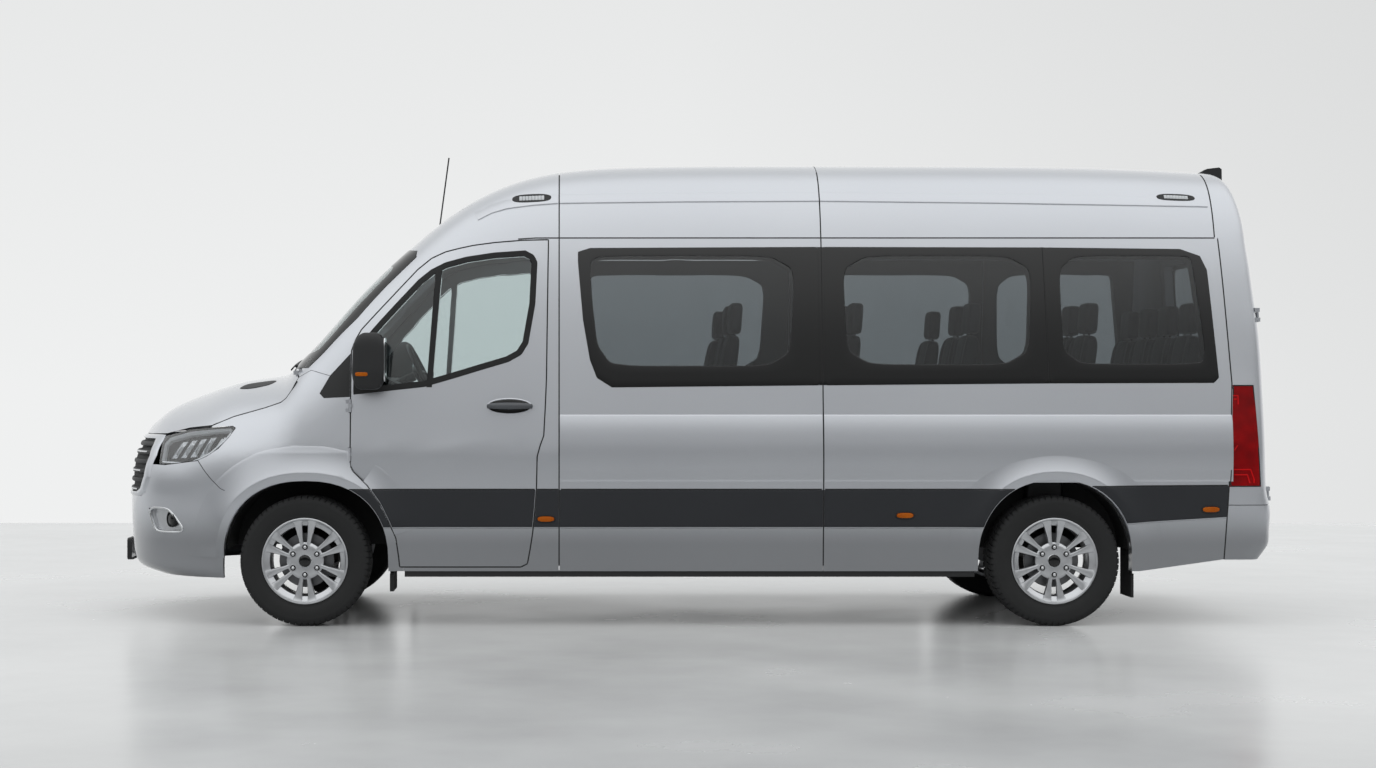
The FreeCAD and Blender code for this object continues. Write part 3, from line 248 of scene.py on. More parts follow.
# %% Metal finishes
chassis_paint, tree, shader, place = finish("steel_chassis_paint_satin_black", "#1d1e20", 0.45)
dust = mottled(tree, shader, place, "#1a1b1c", "#332f2b", 180, 6.0, (0.38, 0.8))
add(tree, "ShaderNodeBump", {"Height": dust.outputs["Fac"], "Distance": 0.5 / 1000, "Strength": 0.2},
    shader.inputs["Normal"])

casting, tree, shader, place = finish("iron_sand_cast_raw", "#4a4846", 0.62, metallic=0.55)
mottled(tree, shader, place, "#434140", "#585049", 40, 6.0)
skin_noise = add(tree, "ShaderNodeTexNoise", {"Vector": place, "Scale": 1000 / 3, "Detail": 4.0})
add(tree, "ShaderNodeBump", {"Height": skin_noise.outputs["Fac"], "Distance": 0.5 / 1000, "Strength": 0.5},
    shader.inputs["Normal"])

alloy, tree, shader, place = finish("alloy_cast_silver_lacquered", "#b9bbbe", 0.3, metallic=0.85,
                                    coat_weight=0.8, coat_roughness=0.08)
cast = mottled(tree, shader, place, "#b2b4b7", "#bfc1c4", 25, spread=(0.26, 0.36))
add(tree, "ShaderNodeBump", {"Height": cast.outputs["Fac"], "Distance": 0.05 / 1000, "Strength": 0.2},
    shader.inputs["Normal"])

disc_steel, tree, shader, place = finish("iron_turned_brake_disc", "#6b6c6e", 0.38, metallic=0.9)
smudged(tree, shader, place, 8, 0.3, 0.5, 6.0)

mirror_metal, tree, shader, place = finish("reflector_aluminised", "#e4e6e8", 0.09, metallic=1.0)
smudged(tree, shader, place, 30, 0.05, 0.14, 2.0)

chrome, tree, shader, place = finish("trim_satin_chrome", "#c9cbcd", 0.22, metallic=1.0)
smudged(tree, shader, place, 15, 0.16, 0.28, 4.0)
print("metal finishes made")

# %% [markdown]
# ## Lamp lenses
#
# Lamp covers are clear or dyed polycarbonate or acrylic. What makes them look like lamps is depth: light goes in,
# meets ribs or a reflector and comes out again. The clear cover is real glass-like plastic over modelled parts. The
# red, amber and white ones are dyed through, with moulded ribs every 5 or 6 mm behind the smooth face. A wave texture
# of scale 1 has its bands 314.16 mm apart, so that number over the wanted spacing is its scale.

# %% Lenses
band_mm = 314.16
lens, tree, shader, place = finish("lens_polycarbonate_clear", "#f4f6f8", 0.0, ior=1.58, transmission_weight=1.0)
smudged(tree, shader, place, 200, 0.0, 0.015)


def dyed_lens(name, dark, bright, rib_mm):
    """Dyed lens: ribs at rib_mm along Z between a dark and a bright tone, under a smooth clear coat."""
    made, tree, shader, place = finish(name, bright, 0.18, ior=1.49, specular_ior_level=0.15)
    wave = add(tree, "ShaderNodeTexWave", {"Vector": place, "Scale": band_mm / rib_mm, "Distortion": 0.0},
               bands_direction="Z")
    cloud = add(tree, "ShaderNodeTexNoise", {"Vector": place, "Scale": 1000 / 90, "Detail": 1.0})
    broken = add(tree, "ShaderNodeMath", {0: wave.outputs["Fac"], 1: cloud.outputs["Fac"]}, operation="MULTIPLY")
    add(tree, "ShaderNodeMix", {0: broken.outputs[0], 6: linear(dark), 7: linear(bright)},
        shader.inputs["Base Color"], data_type="RGBA")
    add(tree, "ShaderNodeBump", {"Height": wave.outputs["Fac"], "Distance": 0.6 / 1000, "Strength": 0.4},
        shader.inputs["Normal"])
    return made


red_lens = dyed_lens("lens_acrylic_red", "#520003", "#c40409", 6)
deep_red = dyed_lens("lens_acrylic_deep_red", "#2c0103", "#6d0609", 6)
red_glow = dyed_lens("lens_acrylic_red_guide", "#a80a0e", "#f0191c", 6)
amber_lens = dyed_lens("lens_acrylic_amber", "#8c3a04", "#e8871c", 5)
white_lens = dyed_lens("lens_acrylic_white", "#b8bcc0", "#f2f3f4", 5)
print("lenses made")

# %% [markdown]
# ## Cabin materials
#
# Seat cloth is a flat weave of dark yarn. Its real threads lie under a millimetre apart, too fine to show here, so
# the weave is drawn at 3 mm. Two crossed waves give over and under, and sheen gives the soft pale edge that fibre
# ends catch. The floor is flecked vinyl over plywood.

# %% Cabin finishes
cloth, tree, shader, place = finish("cloth_flat_woven_charcoal", "#26282c", 0.85, sheen_weight=0.35,
                                    sheen_roughness=0.4)
warp = add(tree, "ShaderNodeTexWave", {"Vector": place, "Scale": band_mm / 3}, bands_direction="Y")
weft = add(tree, "ShaderNodeTexWave", {"Vector": place, "Scale": band_mm / 3}, bands_direction="DIAGONAL")
weave = add(tree, "ShaderNodeMath", {0: warp.outputs["Fac"], 1: weft.outputs["Fac"]}, operation="MULTIPLY")
melange = add(tree, "ShaderNodeTexNoise", {"Vector": place, "Scale": 1000 / 8, "Detail": 3.0})
add(tree, "ShaderNodeMix", {0: melange.outputs["Fac"], 6: linear("#1d1f22"), 7: linear("#303338")},
    shader.inputs["Base Color"], data_type="RGBA")
add(tree, "ShaderNodeBump", {"Height": weave.outputs[0], "Distance": 0.4 / 1000, "Strength": 0.5},
    shader.inputs["Normal"])

leather = moulded("leathercloth_black_grained", "#1b1c1f", 0.42, ("#18191b", "#232427"), 90, (0.34, 0.5),
                  3.5, 0.25, 0.4, sheen_weight=0.1)

vinyl, tree, shader, place = finish("vinyl_floor_grey_flecked", "#4a4c4f", 0.5)
fleck = add(tree, "ShaderNodeTexNoise", {"Vector": place, "Scale": 1000 / 6, "Detail": 2.0})
speck = add(tree, "ShaderNodeMapRange", {"Value": fleck.outputs["Fac"], "From Min": 0.55, "From Max": 0.7})
add(tree, "ShaderNodeMix", {0: speck.outputs["Result"], 6: linear("#3f4144"), 7: linear("#7d7f80")},
    shader.inputs["Base Color"], data_type="RGBA")
add(tree, "ShaderNodeMapRange", {"Value": fleck.outputs["Fac"], "To Min": 0.4, "To Max": 0.6},
    shader.inputs["Roughness"])

plate_white, tree, shader, place = finish("plate_acrylic_white_blank", "#e9eaea", 0.25, coat_weight=0.6)
mottled(tree, shader, place, "#e4e5e5", "#eeefef", 80, spread=(0.2, 0.3))
print("cabin finishes made")

# %% [markdown]
# ## CAD parts get their finish
#
# Every CAD part that stays visible takes one of these materials. The table follows what each part is made of.

# %% Finish of each CAD node
node_finish = {
    paint: ["front_fenders", "cab_shell", "bonnet", "front_bumper", "side_panels_left", "side_panel_right",
            "sliding_door", "roof", "rear_frame", "rear_bumper", "door_front_left", "door_front_right",
            "door_rear_left", "door_rear_right"],
    tinted: ["side_glass", "rear_glass_left", "rear_glass_right"],
    clear_glass: ["windscreen", "door_glass_left", "door_glass_right"],
    lens: ["front_lamps"],
    red_lens: ["tail_lamps"],
    amber_lens: ["marker_lamps"],
    grained: ["sail_panels", "sills", "mirror_left", "mirror_right", "roof_antenna", "wipers",
              "door_handle_left", "door_handle_right", "grille", "fuel_tank", "steering_column"],
    leather: ["dashboard", "steering_wheel"],
    rubber: ["wheel_liners", "tyre_front_left", "tyre_front_right", "tyre_rear_left", "tyre_rear_right"],
    alloy: ["rim_front_left", "rim_front_right", "rim_rear_left", "rim_rear_right"],
    chassis_paint: ["chassis_frame", "front_suspension", "rear_axle", "exhaust", "radiator"],
    casting: ["engine_block", "knuckle_left", "knuckle_right"],
    vinyl: ["floor"],
    plate_white: ["number_plate"],
    cloth: ["cab_seats", "passenger_seats"],
}
for material, names in node_finish.items():
    for name in names:
        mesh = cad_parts[name].data
        mesh.materials.clear()
        mesh.materials.append(material)
missing = sorted(set(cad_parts) - {n for names in node_finish.values() for n in names})
print("CAD nodes without a finish:", missing)

# %% [markdown]
# ## The skin as a formula
#
# The body's shape follows a few curves: how high the middle line runs, how square each cross-section is, and how the
# nose and the tail round off. The same curves give the place of any trim. `side` takes a point of the side view to
# the left wall, `fore` a point of the front view to nose or windscreen, and `aft` a point of the rear view to the
# back doors, each with a lift along the surface's normal. Lengths here are in millimetres from the front axle.


# %% Body curves
def monotone(points):
    """A cubic curve through the points whose slopes are harmonic means, so that it never overshoots."""
    xs, ys = np.array(points, float).T
    h = np.diff(xs)
    d = np.diff(ys) / h
    a, b = 2 * h[1:] + h[:-1], h[1:] + 2 * h[:-1]
    same = d[:-1] * d[1:] > 0
    safe = np.where(d == 0, 1.0, d)
    m = np.concatenate([d[:1], np.where(same, (a + b) / (a / safe[:-1] + b / safe[1:]), 0), d[-1:]])

    def value(x):
        """The cubic of the interval that x falls in; beyond the ends the curve stays level."""
        x = np.clip(x, xs[0], xs[-1])
        i = np.clip(np.searchsorted(xs, x, side="right") - 1, 0, len(h) - 1)
        t = (x - xs[i]) / h[i]
        return (ys[i] * (1 + 2 * t) * (1 - t) ** 2 + h[i] * m[i] * t * (1 - t) ** 2
                + ys[i + 1] * t * t * (3 - 2 * t) + h[i] * m[i + 1] * t * t * (t - 1))
    return value


R = wheelbase  # the rear axle's x
ridge = monotone([(-1083, 1114), (-1047, 1155), (-991, 1199), (-925, 1250), (-847, 1289), (-657, 1361),
                  (-434, 1423), (-178, 1465), (-60, 1560), (324, 1985), (596, 2235), (800, 2400),
                  (970, 2510), (1220, roof_height - 95), (1500, roof_height - 33), (1900, roof_height - 7),
                  (2600, roof_height), (R - 125, roof_height - 3), (R + 675, roof_height - 25),
                  (R + 1275, roof_height - 60)])
squareness = monotone([(-1083, 2.3), (-742, 2.4), (-573, 2.8), (-335, 3.0), (-218, 3.25), (-143, 3.6),
                       (-90, 4.05), (-55, 4.6), (324, 5.0), (900, 6.0), (R + 1275, 6.0)])
shoulder = monotone([(-1083, 750), (-573, 750), (-335, 760), (-218, 790), (-90, 820), (0, 850),
                     (600, 1000), (R + 1275, 1000)])
nose = monotone([(250, -900), (300, -1060), (330, -1110), (400, -1135), (521, -1142), (711, -1150),
                 (911, -1142), (1023, -1122), (1114, -1083)])
tail = monotone([(380, 290), (430, 330), (470, 356), (540, 362), (701, 362), (760, 345), (811, 339),
                 (1386, 325), (1770, 303), (1936, 282), (2093, 265), (2206, 251), (2319, 242),
                 (2434, 224), (2520, 203), (2591, 176), (2630, 150), (roof_height - 58, 105)])
tail_start = R + 925.0


def half_width(x, z, low=500.0):
    """Half the body's width: a cubed-power round nose times, above the shoulder, a superellipse that closes at
    the ridge and leans in by 15.5 % over the height."""
    x, z = np.broadcast_arrays(np.asarray(x, float), np.asarray(z, float))
    r = np.clip((300 - x) / (300 - nose(np.maximum(z, low))), 0, 1)
    y = half_body * (1 - r ** 3) ** (1 / 3)
    z0, n = shoulder(x), squareness(x)
    s = np.clip((z - z0) / (ridge(x) - z0), 0, 1)
    upper = (1 - s ** n) ** (1 / n) * (1 - 0.155 * np.maximum(0, z - 1000) / 1715)
    lower = 1 - 0.03 * (np.clip(z0 - z, 0, None) / (z0 - 300)) ** 2
    return y * np.where(z > z0, upper, lower)


print("the skin is %.0f mm high at the cab door and %.0f mm over the rear axle" % (ridge(900.0), ridge(R)))


# %% Laying things on the skin
def lifted(solve, a, b, lift, order):
    """Points of a surface given as one coordinate over two others, moved along the normal by lift. The normal
    comes from the slopes over 2 mm to each side; order puts the coordinates back as x, y, z."""
    a, b, lift = np.broadcast_arrays(np.asarray(a, float), np.asarray(b, float), np.asarray(lift, float))
    c, e = solve(a, b), 2.0
    slope_a = (solve(a + e, b) - solve(a - e, b)) / (2 * e)
    slope_b = (solve(a, b + e) - solve(a, b - e)) / (2 * e)
    sign = -1.0 if order[0] == "front" else 1.0
    normal = np.stack([-slope_a, -slope_b, np.ones_like(c)], -1) * sign
    normal /= np.linalg.norm(normal, axis=-1, keepdims=True)
    points = np.stack([a, b, c], -1) + normal * lift[..., None]
    return points[..., order[1]]


def side(x, z, lift=0.0):
    """Left wall: y is minus the half width at x and z."""
    points = lifted(half_width, x, z, lift, ("side", [0, 2, 1]))
    return points * np.array([1, -1, 1])


def fore(y, z, lift=0.0, low=0.0):
    """Nose and windscreen: x is found by halving the interval in which the half width passes |y|."""
    def solve(y, z):
        """The x at which a level line of sight at y and z enters the body."""
        outside, inside = np.full(y.shape, -1250.0), np.full(y.shape, 1600.0)
        for _ in range(42):
            middle = (outside + inside) / 2
            within = (z < ridge(middle)) & (np.abs(y) < half_width(middle, z, low))
            inside, outside = np.where(within, middle, inside), np.where(within, outside, middle)
        return inside
    return lifted(solve, y, z, lift, ("front", [2, 0, 1]))


def aft(y, z, lift=0.0):
    """Rear face: x is the tail's depth times (1 - u^8)^(1/8), with u the share of the half width."""
    def solve(y, z):
        """The x of the rear face."""
        u = np.clip(np.abs(y) / half_width(R + 965, z), 0, 0.999)
        return tail_start + tail(z) * (1 - u ** 8) ** (1 / 8)
    return lifted(solve, y, z, lift, ("rear", [2, 0, 1]))


print("wall at the B pillar: %.0f mm from the middle" % half_width(1467, 1200))

# %% [markdown]
# ## Grids become meshes
#
# A grid of points is enough to describe every piece here, and its faces follow from its shape alone. Where rows meet,
# doubled points are merged, and faces are turned to look outwards. Most pieces come twice, so `pair` makes the left
# one and its mirror image. The CAD's material slot is looked up from the material, but nothing uses it.


# %% Grids and pieces
def quads(points, loop_u=False, loop_v=False, caps=False):
    """The points of a grid and its faces: each quad joins row i and i+1 at columns j and j+1. Caps close the first
    and the last row with one face each."""
    n, m = points.shape[:2]
    i, j = np.arange(n if loop_u else n - 1), np.arange(m if loop_v else m - 1)
    a = (i[:, None] * m + j).ravel()
    b = (((i + 1) % n)[:, None] * m + j).ravel()
    c = (((i + 1) % n)[:, None] * m + (j + 1) % m).ravel()
    d = (i[:, None] * m + (j + 1) % m).ravel()
    faces = [np.stack([a, b, c, d], 1)]
    if caps:
        faces += [np.arange(m)[None, :], np.arange((n - 1) * m, n * m)[None, :]]
    return points.reshape(-1, 3), faces


slots = {"silver_paint": (paint, handle_grey), "black_plastic": (anthracite, rubber, grained),
         "alloy": (alloy, chrome, disc_steel), "clear_lens": (lens, white_lens, mirror_metal),
         "tinted_glass": (border,), "amber_lens": (amber_lens,), "red_lens": (deep_red, red_glow),
         "seat_cloth": (cloth,)}
slot_of = {material: slot for slot, group in slots.items() for material in group}


def piece(name, parts, material, body, node=None, slot=None, sharp=38, mirror=False):
    """One object from several grids. Millimetres from the front axle become metres of the row frame. The slot of
    the CAD's material list is looked up from the material unless one is given, but it is not used."""
    starts = np.cumsum([0] + [len(points) for points, _ in parts])
    faces = [face for (_, blocks), start in zip(parts, starts) for rows in blocks for face in (rows + start).tolist()]
    points = np.concatenate([points for points, _ in parts])
    if mirror:
        points = points * np.array([1, -1, 1])
    points = points / 1000 + np.array([front_axle, 0, 0])
    mesh = bpy.data.meshes.new(name)
    mesh.from_pydata(points.tolist(), [], faces)
    work = bmesh.new()
    work.from_mesh(mesh)
    bmesh.ops.remove_doubles(work, verts=work.verts, dist=2e-5)
    bmesh.ops.dissolve_degenerate(work, dist=1e-6, edges=work.edges)
    bmesh.ops.recalc_face_normals(work, faces=work.faces)
    work.to_mesh(mesh)
    work.free()
    mesh.shade_smooth()
    mesh.set_sharp_from_angle(angle=math.radians(sharp))
    mesh.materials.append(material)
    made = bpy.data.objects.new(name, mesh)
    bpy.context.scene.collection.objects.link(made)
    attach(made, body)
    if node:
        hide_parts(node)
    slot or slot_of[material]
    return made


def pair(name, parts, material, body="body", **more):
    """The same piece on the left and, mirrored, on the right. A body or node that ends in _ gets the side's name."""
    for hand in ("left", "right"):
        sided = {key: value + hand if str(value).endswith("_") else value
                 for key, value in dict(more, body=body).items()}
        piece(name + "_" + hand, parts, material, mirror=hand == "right", **sided)


print("slots in use:", *slots)

# %% [markdown]
# ## Outlines
#
# A trim starts as a few points in the side, front or rear view. Spacing them evenly gives quads of even size, cutting
# the corners rounds them, and moving the outline along its normals gives a parallel one. For a ring between two
# different outlines, both are read at the same directions from one centre, so that their points face each other.


# %% Outlines
def even(points, n, closed=True):
    """n points at even steps along a line of straight runs."""
    line = np.array(points + points[:1] if closed else points, float)
    run = np.concatenate([[0], np.cumsum(np.hypot(*np.diff(line, axis=0).T))])
    t = np.linspace(0, run[-1], n, endpoint=not closed)
    return np.stack([np.interp(t, run, line[:, 0]), np.interp(t, run, line[:, 1])], 1)


def rounded(points, times=2, share=0.25):
    """Cuts the corners of a closed outline: each run keeps the middle part between share and 1-share."""
    line = np.array(points, float)
    for _ in range(times):
        following = np.roll(line, -1, axis=0)
        line = np.stack([line * (1 - share) + following * share, line * share + following * (1 - share)], 1)
        line = line.reshape(-1, 2)
    return [tuple(p) for p in line]


def grown(outline, by):
    """An outline moved outwards by a distance, along the normals of its evenly spaced points."""
    tangent = np.roll(outline, -1, axis=0) - np.roll(outline, 1, axis=0)
    tangent /= np.linalg.norm(tangent, axis=1, keepdims=True) + 1e-9
    x, z = outline.T
    area = np.sum(x * np.roll(z, -1) - np.roll(x, -1) * z)
    return outline + np.stack([tangent[:, 1], -tangent[:, 0]], 1) * by * (1 if area > 0 else -1)


def by_angle(points, centre, n):
    """An outline's points at n even directions from a centre, with both directions scaled to its extent."""
    line = even(points, 3000)
    size = line.max(0) - line.min(0)
    angle = np.unwrap(np.arctan2((line[:, 1] - centre[1]) / size[1], (line[:, 0] - centre[0]) / size[0]))
    if angle[-1] < angle[0]:
        line, angle = line[::-1], angle[::-1]
    want = angle[0] + np.mod(np.linspace(0, 2 * np.pi, n, endpoint=False) - angle[0], 2 * np.pi)
    return np.stack([np.interp(want, angle, line[:, 0]), np.interp(want, angle, line[:, 1])], 1)


print("a square with its corners cut twice has", len(rounded([(0, 0), (1, 0), (1, 1), (0, 1)])), "points")

# %% [markdown]
# ## Mouldings
#
# Four shapes cover nearly every trim. A ring is a cross-section carried round between two outlines, a strip is one
# carried along a line, a plug is an outline shrunk to a point over a profile, and a patch is a plate whose edge rows
# dip under the paint. Each takes the function that lays its flat points on the skin.


# %% Mouldings
def ring(place, inner, outer, profile):
    """A closed moulding between two outlines; the profile is a loop of (share across, lift)."""
    t, lift = np.array(profile, float).T
    at = inner[:, None] + (outer - inner)[:, None] * t[None, :, None]
    return quads(place(at[..., 0], at[..., 1], lift[None, :]), True, True)


def strip(place, path, profile):
    """A moulding along an open line; the profile is a loop of (distance across, lift)."""
    tangent = np.gradient(path, axis=0)
    tangent /= np.linalg.norm(tangent, axis=1, keepdims=True)
    across = np.stack([tangent[:, 1], -tangent[:, 0]], 1)
    w, lift = np.array(profile, float).T
    at = path[:, None] + across[:, None] * w[None, :, None]
    return quads(place(at[..., 0], at[..., 1], lift[None, :]), False, True, True)


def plug(place, outline, profile, centre=None):
    """A closed disc over an outline; the profile runs from the middle of the top over the edge to the middle
    of the underside, as (share of the outline, lift)."""
    s, lift = np.array(profile, float).T
    c = outline.mean(0) if centre is None else np.array(centre, float)
    at = c + (outline - c)[:, None] * s[None, :, None]
    return quads(place(at[..., 0], at[..., 1], lift[None, :]), True, False)


def patch(place, left, right, low, high, thick, n_u=40, n_v=14, dip=-2.0, edge=4.0):
    """A plate on the body between two curves x(z) and two heights z(x share): its edge rows dip under the
    paint and a second sheet closes it from below."""
    def steps(n, length):
        """Places along one direction and their lifts: level in the middle, three rows down to the dip at each end."""
        e = min(edge / length, 0.2)
        t = np.concatenate([[0, 0, e * 0.35], np.linspace(e, 1 - e, n), [1 - e * 0.35, 1, 1]])
        h = np.concatenate([[dip, thick * 0.3, thick * 0.85], np.full(n, thick), [thick * 0.85, thick * 0.3, dip]])
        return t, h
    z_mid = (np.mean(low(np.array([0.0, 1.0]))) + np.mean(high(np.array([0.0, 1.0])))) / 2
    u, hu = steps(n_u, float(abs(right(z_mid) - left(z_mid))))
    v, hv = steps(n_v, float(np.mean(high(u) - low(u))))
    z = low(u)[:, None] * (1 - v) + high(u)[:, None] * v
    x = left(z) * (1 - u[:, None]) + right(z) * u[:, None]
    top = place(x, z, np.minimum(hu[:, None], hv[None, :]))
    under = place(x, z, np.full(x.shape, dip))
    return [quads(top), quads(under)]


print("mouldings ready")

# %% [markdown]
# ## Arch flares
#
# Round each wheel arch the sheet swells out. A flat lip follows the opening, and above it the surface leaves the lip
# steeply and runs out into the wall, so it looks up at the ceiling light and shows as a pale crescent. One formula
# gives that swelling anywhere on the side. It shapes the flares, and the band and the seam lines ride on top of it.

# %% Arch flares
DOOR = [(1404, 2236), (1253, 2233), (1090, 2220), (968, 2204), (886, 2187), (805, 2167), (724, 2130), (643, 2064),
        (522, 1933), (402, 1803), (321, 1713), (289, 1656), (266, 1591), (266, 1374), (266, 929), (284, 894),
        (365, 816), (437, 713), (487, 611), (528, 507), (543, 404), (549, 343), (1247, 343), (1284, 362),
        (1299, 444), (1314, 540), (1328, 686), (1336, 797), (1340, 980), (1358, 1046), (1378, 1100), (1387, 1273),
        (1393, 1420)]
door_front_line = np.array(DOOR[12:22], float)
door_rear_line = np.array(DOOR[23:], float)
lip_width = 46.0
arches = {"front": (8.0, 476.0, 465.0, 2.3, 24.0, 175.0, (330, 480)),
          "rear": (R, 445.0, 471.0, 2.2, 20.0, 150.0, (470, 470))}


def x_of(line, shift=0.0):
    """The side-view line as x over z."""
    line = line[np.argsort(line[:, 1])]
    return lambda z: np.interp(z, line[:, 1], line[:, 0]) + shift


def smooth(t):
    """0 before 0, 1 after 1, and 3t^2 - 2t^3 between."""
    t = np.clip(t, 0, 1)
    return t * t * (3 - 2 * t)


def swell(x, z):
    """Height of the flares over the wall: peak on the lip, then peak * (1 - t)^2 over the reach. The distance d
    from the opening is that along the ray from the axle, by how far outside the superellipse the point lies."""
    x, z = np.broadcast_arrays(np.asarray(x, float), np.asarray(z, float))
    total = np.zeros(x.shape)
    for centre, half, height, power, peak, reach, feet in arches.values():
        dx, dz = x - centre, np.maximum(z - tyre_radius, 1.0)
        k = ((np.abs(dx) / half) ** power + (dz / height) ** power) ** (1 / power)
        d = (1 - 1 / np.maximum(k, 0.05)) * np.hypot(dx, dz)
        slope = peak * (1 - np.clip((d - lip_width) / reach, 0, 1)) ** 2
        fade = smooth((z - np.where(dx < 0, feet[0], feet[1])) / 150)
        total = total + np.where(d < lip_width, peak - 3 * (1 - d / lip_width), slope) * fade
    return total


def wall(x, z, lift=0.0):
    """The side with its flares."""
    return side(x, z, swell(x, z) + lift)


def flare(name, low_angle, high_angle, inner=None, outer=None):
    """A plate over part of a flare: rays from the axle, from the opening or a line to the reach or a line."""
    centre, half, height, power, peak, reach, feet = arches[name]
    a = np.linspace(low_angle, high_angle, 110)
    a = np.concatenate([a[:1], a, a[-1:]])
    c, s = np.cos(a), np.sin(a)
    edge = np.stack([np.sign(c) * np.abs(c) ** (2 / power) * half, np.abs(s) ** (2 / power) * height], 1)
    length = np.linalg.norm(edge, axis=1)
    ray = edge / length[:, None]
    d = np.linspace(0, lip_width + reach, 400)
    x = centre + ray[:, :1] * (length[:, None] + d)
    z = tyre_radius + ray[:, 1:] * (length[:, None] + d)
    start, end = np.zeros(len(a)), np.full(len(a), d[-1])
    if inner:
        start = np.max(np.where(x < inner(z), d, 0), axis=1)
    if outer:
        end = np.min(np.where(x > outer(z), d, d[-1]), axis=1)
    share = np.concatenate([[0, 0], np.linspace(0, 1, 46) ** 1.3, [1]])
    at = start[:, None] + (end - start)[:, None] * share
    x = centre + ray[:, :1] * (length[:, None] + at)
    z = tyre_radius + ray[:, 1:] * (length[:, None] + at)
    lift = swell(x, z) + 0.35 - 2.0 * smooth((at / d[-1] - 0.86) / 0.14)
    lift[:, 0] = lift[:, -1] = -4.0
    lift[0], lift[-1] = -4.0, -4.0
    return [quads(side(x, z, lift)), quads(side(x, z, np.full(lift.shape, -4.0)))]


pair("flare_wing", flare("front", 0.05, np.pi - 0.02, outer=x_of(door_front_line, -3)), paint)
pair("flare_door", flare("front", 0.25, 0.98, inner=x_of(door_front_line, 3)), paint, "door_front_")
pair("flare_rear", flare("rear", 0.05, np.pi - 0.05), paint)
print("flares rise %.0f and %.0f mm" % (arches["front"][4], arches["rear"][4]))

# %% [markdown]
# ## Rubbing band
#
# The dark band is a plastic moulding clipped to the lower side, 215 mm high, broken at every door and seam. A rubber
# line closes its upper edge, and a narrow pressed ledge below it catches the light as a pale line.


# %% Band pieces
def constant(value):
    """A curve that has the same value everywhere."""
    return lambda other: np.full(np.shape(other), float(value))


def arch_x(centre, half, height, power, sign):
    """The x of a wheel arch at a height: a superellipse about the axle."""
    def at(z):
        """The opening's edge, on the side that sign names."""
        s = np.clip((z - tyre_radius) / height, 0, 0.9999)
        return centre + sign * half * (1 - s ** power) ** (1 / power)
    return at


rear_seam = np.array([(5298, 2248), (5348, 1397), (5320, 788), (5298, 385)], float)
band_low, band_high = constant(574), constant(788)
band_parts = {
    "band_wing": (arch_x(8, 478, 467, 2.3, 1), x_of(door_front_line, -5), band_low, band_high, "body", 14),
    "band_door": (x_of(door_front_line, 5), x_of(door_rear_line, -5), band_low, band_high, "door_front_", 40),
    "band_post": (x_of(door_rear_line, 5), constant(1463), band_low, band_high, "body", 8),
    "band_front": (constant(1471), constant(2985), band_low, band_high, "body", 60),
    "band_middle": (constant(2993), arch_x(R, 447, 473, 2.2, -1), band_low, band_high, "body", 40),
    "band_tail": (arch_x(R, 447, 473, 2.2, 1), x_of(rear_seam, -4), lambda u: 597 + 35 * u,
                  lambda u: 805 + 6 * u, "body", 30),
}
for name, (left, right, low, high, body, n) in band_parts.items():
    edges = []
    for edge, shift in ((high, 4.0), (low, -3.0)):
        u = np.linspace(0.004, 0.996, 50)
        z = edge(u) + shift
        edges.append(np.stack([left(z) * (1 - u) + right(z) * u, z], 1))
    line = strip(wall, edges[0], [(-2.5, -3), (-2.5, 2.4), (3.5, 2.4), (3.5, -3)])
    ledge = strip(wall, edges[1], [(-3.5, 1.5), (-2.5, 5), (0.5, 5), (7, -1), (7, -3), (-3.5, -3)])
    pair(name, patch(wall, left, right, low, high, 3.0, n, 16), anthracite, body)
    pair(name + "_line", [line], rubber, body)
    pair(name + "_ledge", [ledge], paint, body)
print("band pieces:", len(band_parts) * 6)

# %% [markdown]
# ## Seams and creases
#
# Panels meet in gaps 4 to 8 mm wide, and a shut line reads as dark from the shade inside its gap and on the rounded
# edges beside it. That shade is painted here: each line gets a dark rubber bar, 3.6 to 7.2 mm wide, that fills the
# gap and stands up to 0.6 mm proud of the paint. The roof and the side also have creases: low steps in the sheet
# whose faces turn up or down and so show as a light or a dark line.

# %% Seams
# Painted shade: dark rubber bars along the shut lines, a little wider than the gaps and just proud of the paint
gap_shade_bar = [(-3.6, -6), (-3.6, 0.4), (0, 0.6), (3.6, 0.4), (3.6, -6)]
fine_gap_shade_bar = [(-1.8, -4), (-1.8, 0.6), (1.8, 0.6), (1.8, -4)]
lines = {
    "b_pillar": ([(1467, 350), (1467, 2640)], gap_shade_bar),
    "middle": ([(2989, 350), (2989, 2650)], gap_shade_bar),
    "rear": ([(5298, 388), (5320, 788), (5348, 1397), (5298, 2240)], gap_shade_bar),
    "rear_roof": ([(5280, 2252), (5280, 2640)], gap_shade_bar),
    "gutter": ([(1228, 2241), (1330, 2247), (5280, 2247)], gap_shade_bar),
    "bumper": ([(-630, 951), (-589, 895), (-545, 844), (-490, 793), (-462, 782)], fine_gap_shade_bar),
    "shut": ([(-555, 1160), (-429, 1209), (-248, 1259), (-151, 1291), (-118, 1317), (-87, 1364), (-60, 1416)],
             fine_gap_shade_bar),
}
gap_shade_bars = [strip(wall, even(path, 160, False), profile) for path, profile in lines.values()]
outline = even(DOOR, 500)
# Painted shade: round the door the bar reaches from inside the gap onto the body's paint beside it
gap_shade_bars.append(ring(wall, grown(outline, -2.4), grown(outline, 4.6),
                  [(0, -7), (0, -0.5), (0.5, 0.3), (1, 0.4), (1, -7)]))
pair("seam_gap_shade_bars", gap_shade_bars, rubber)
outline = even([(-4, 600), (-846, 600), (-846, 1380), (-790, 1980), (-742, 2300), (-690, 2400), (-600, 2430),
                (-4, 2430)], 400)
print("seam beads on each side:", len(gap_shade_bars))
pair("rear_door_bead", [ring(aft, grown(outline, -3), grown(outline, 3), [(0, -12), (0, -6), (1, -6), (1, -12)])],
     rubber)

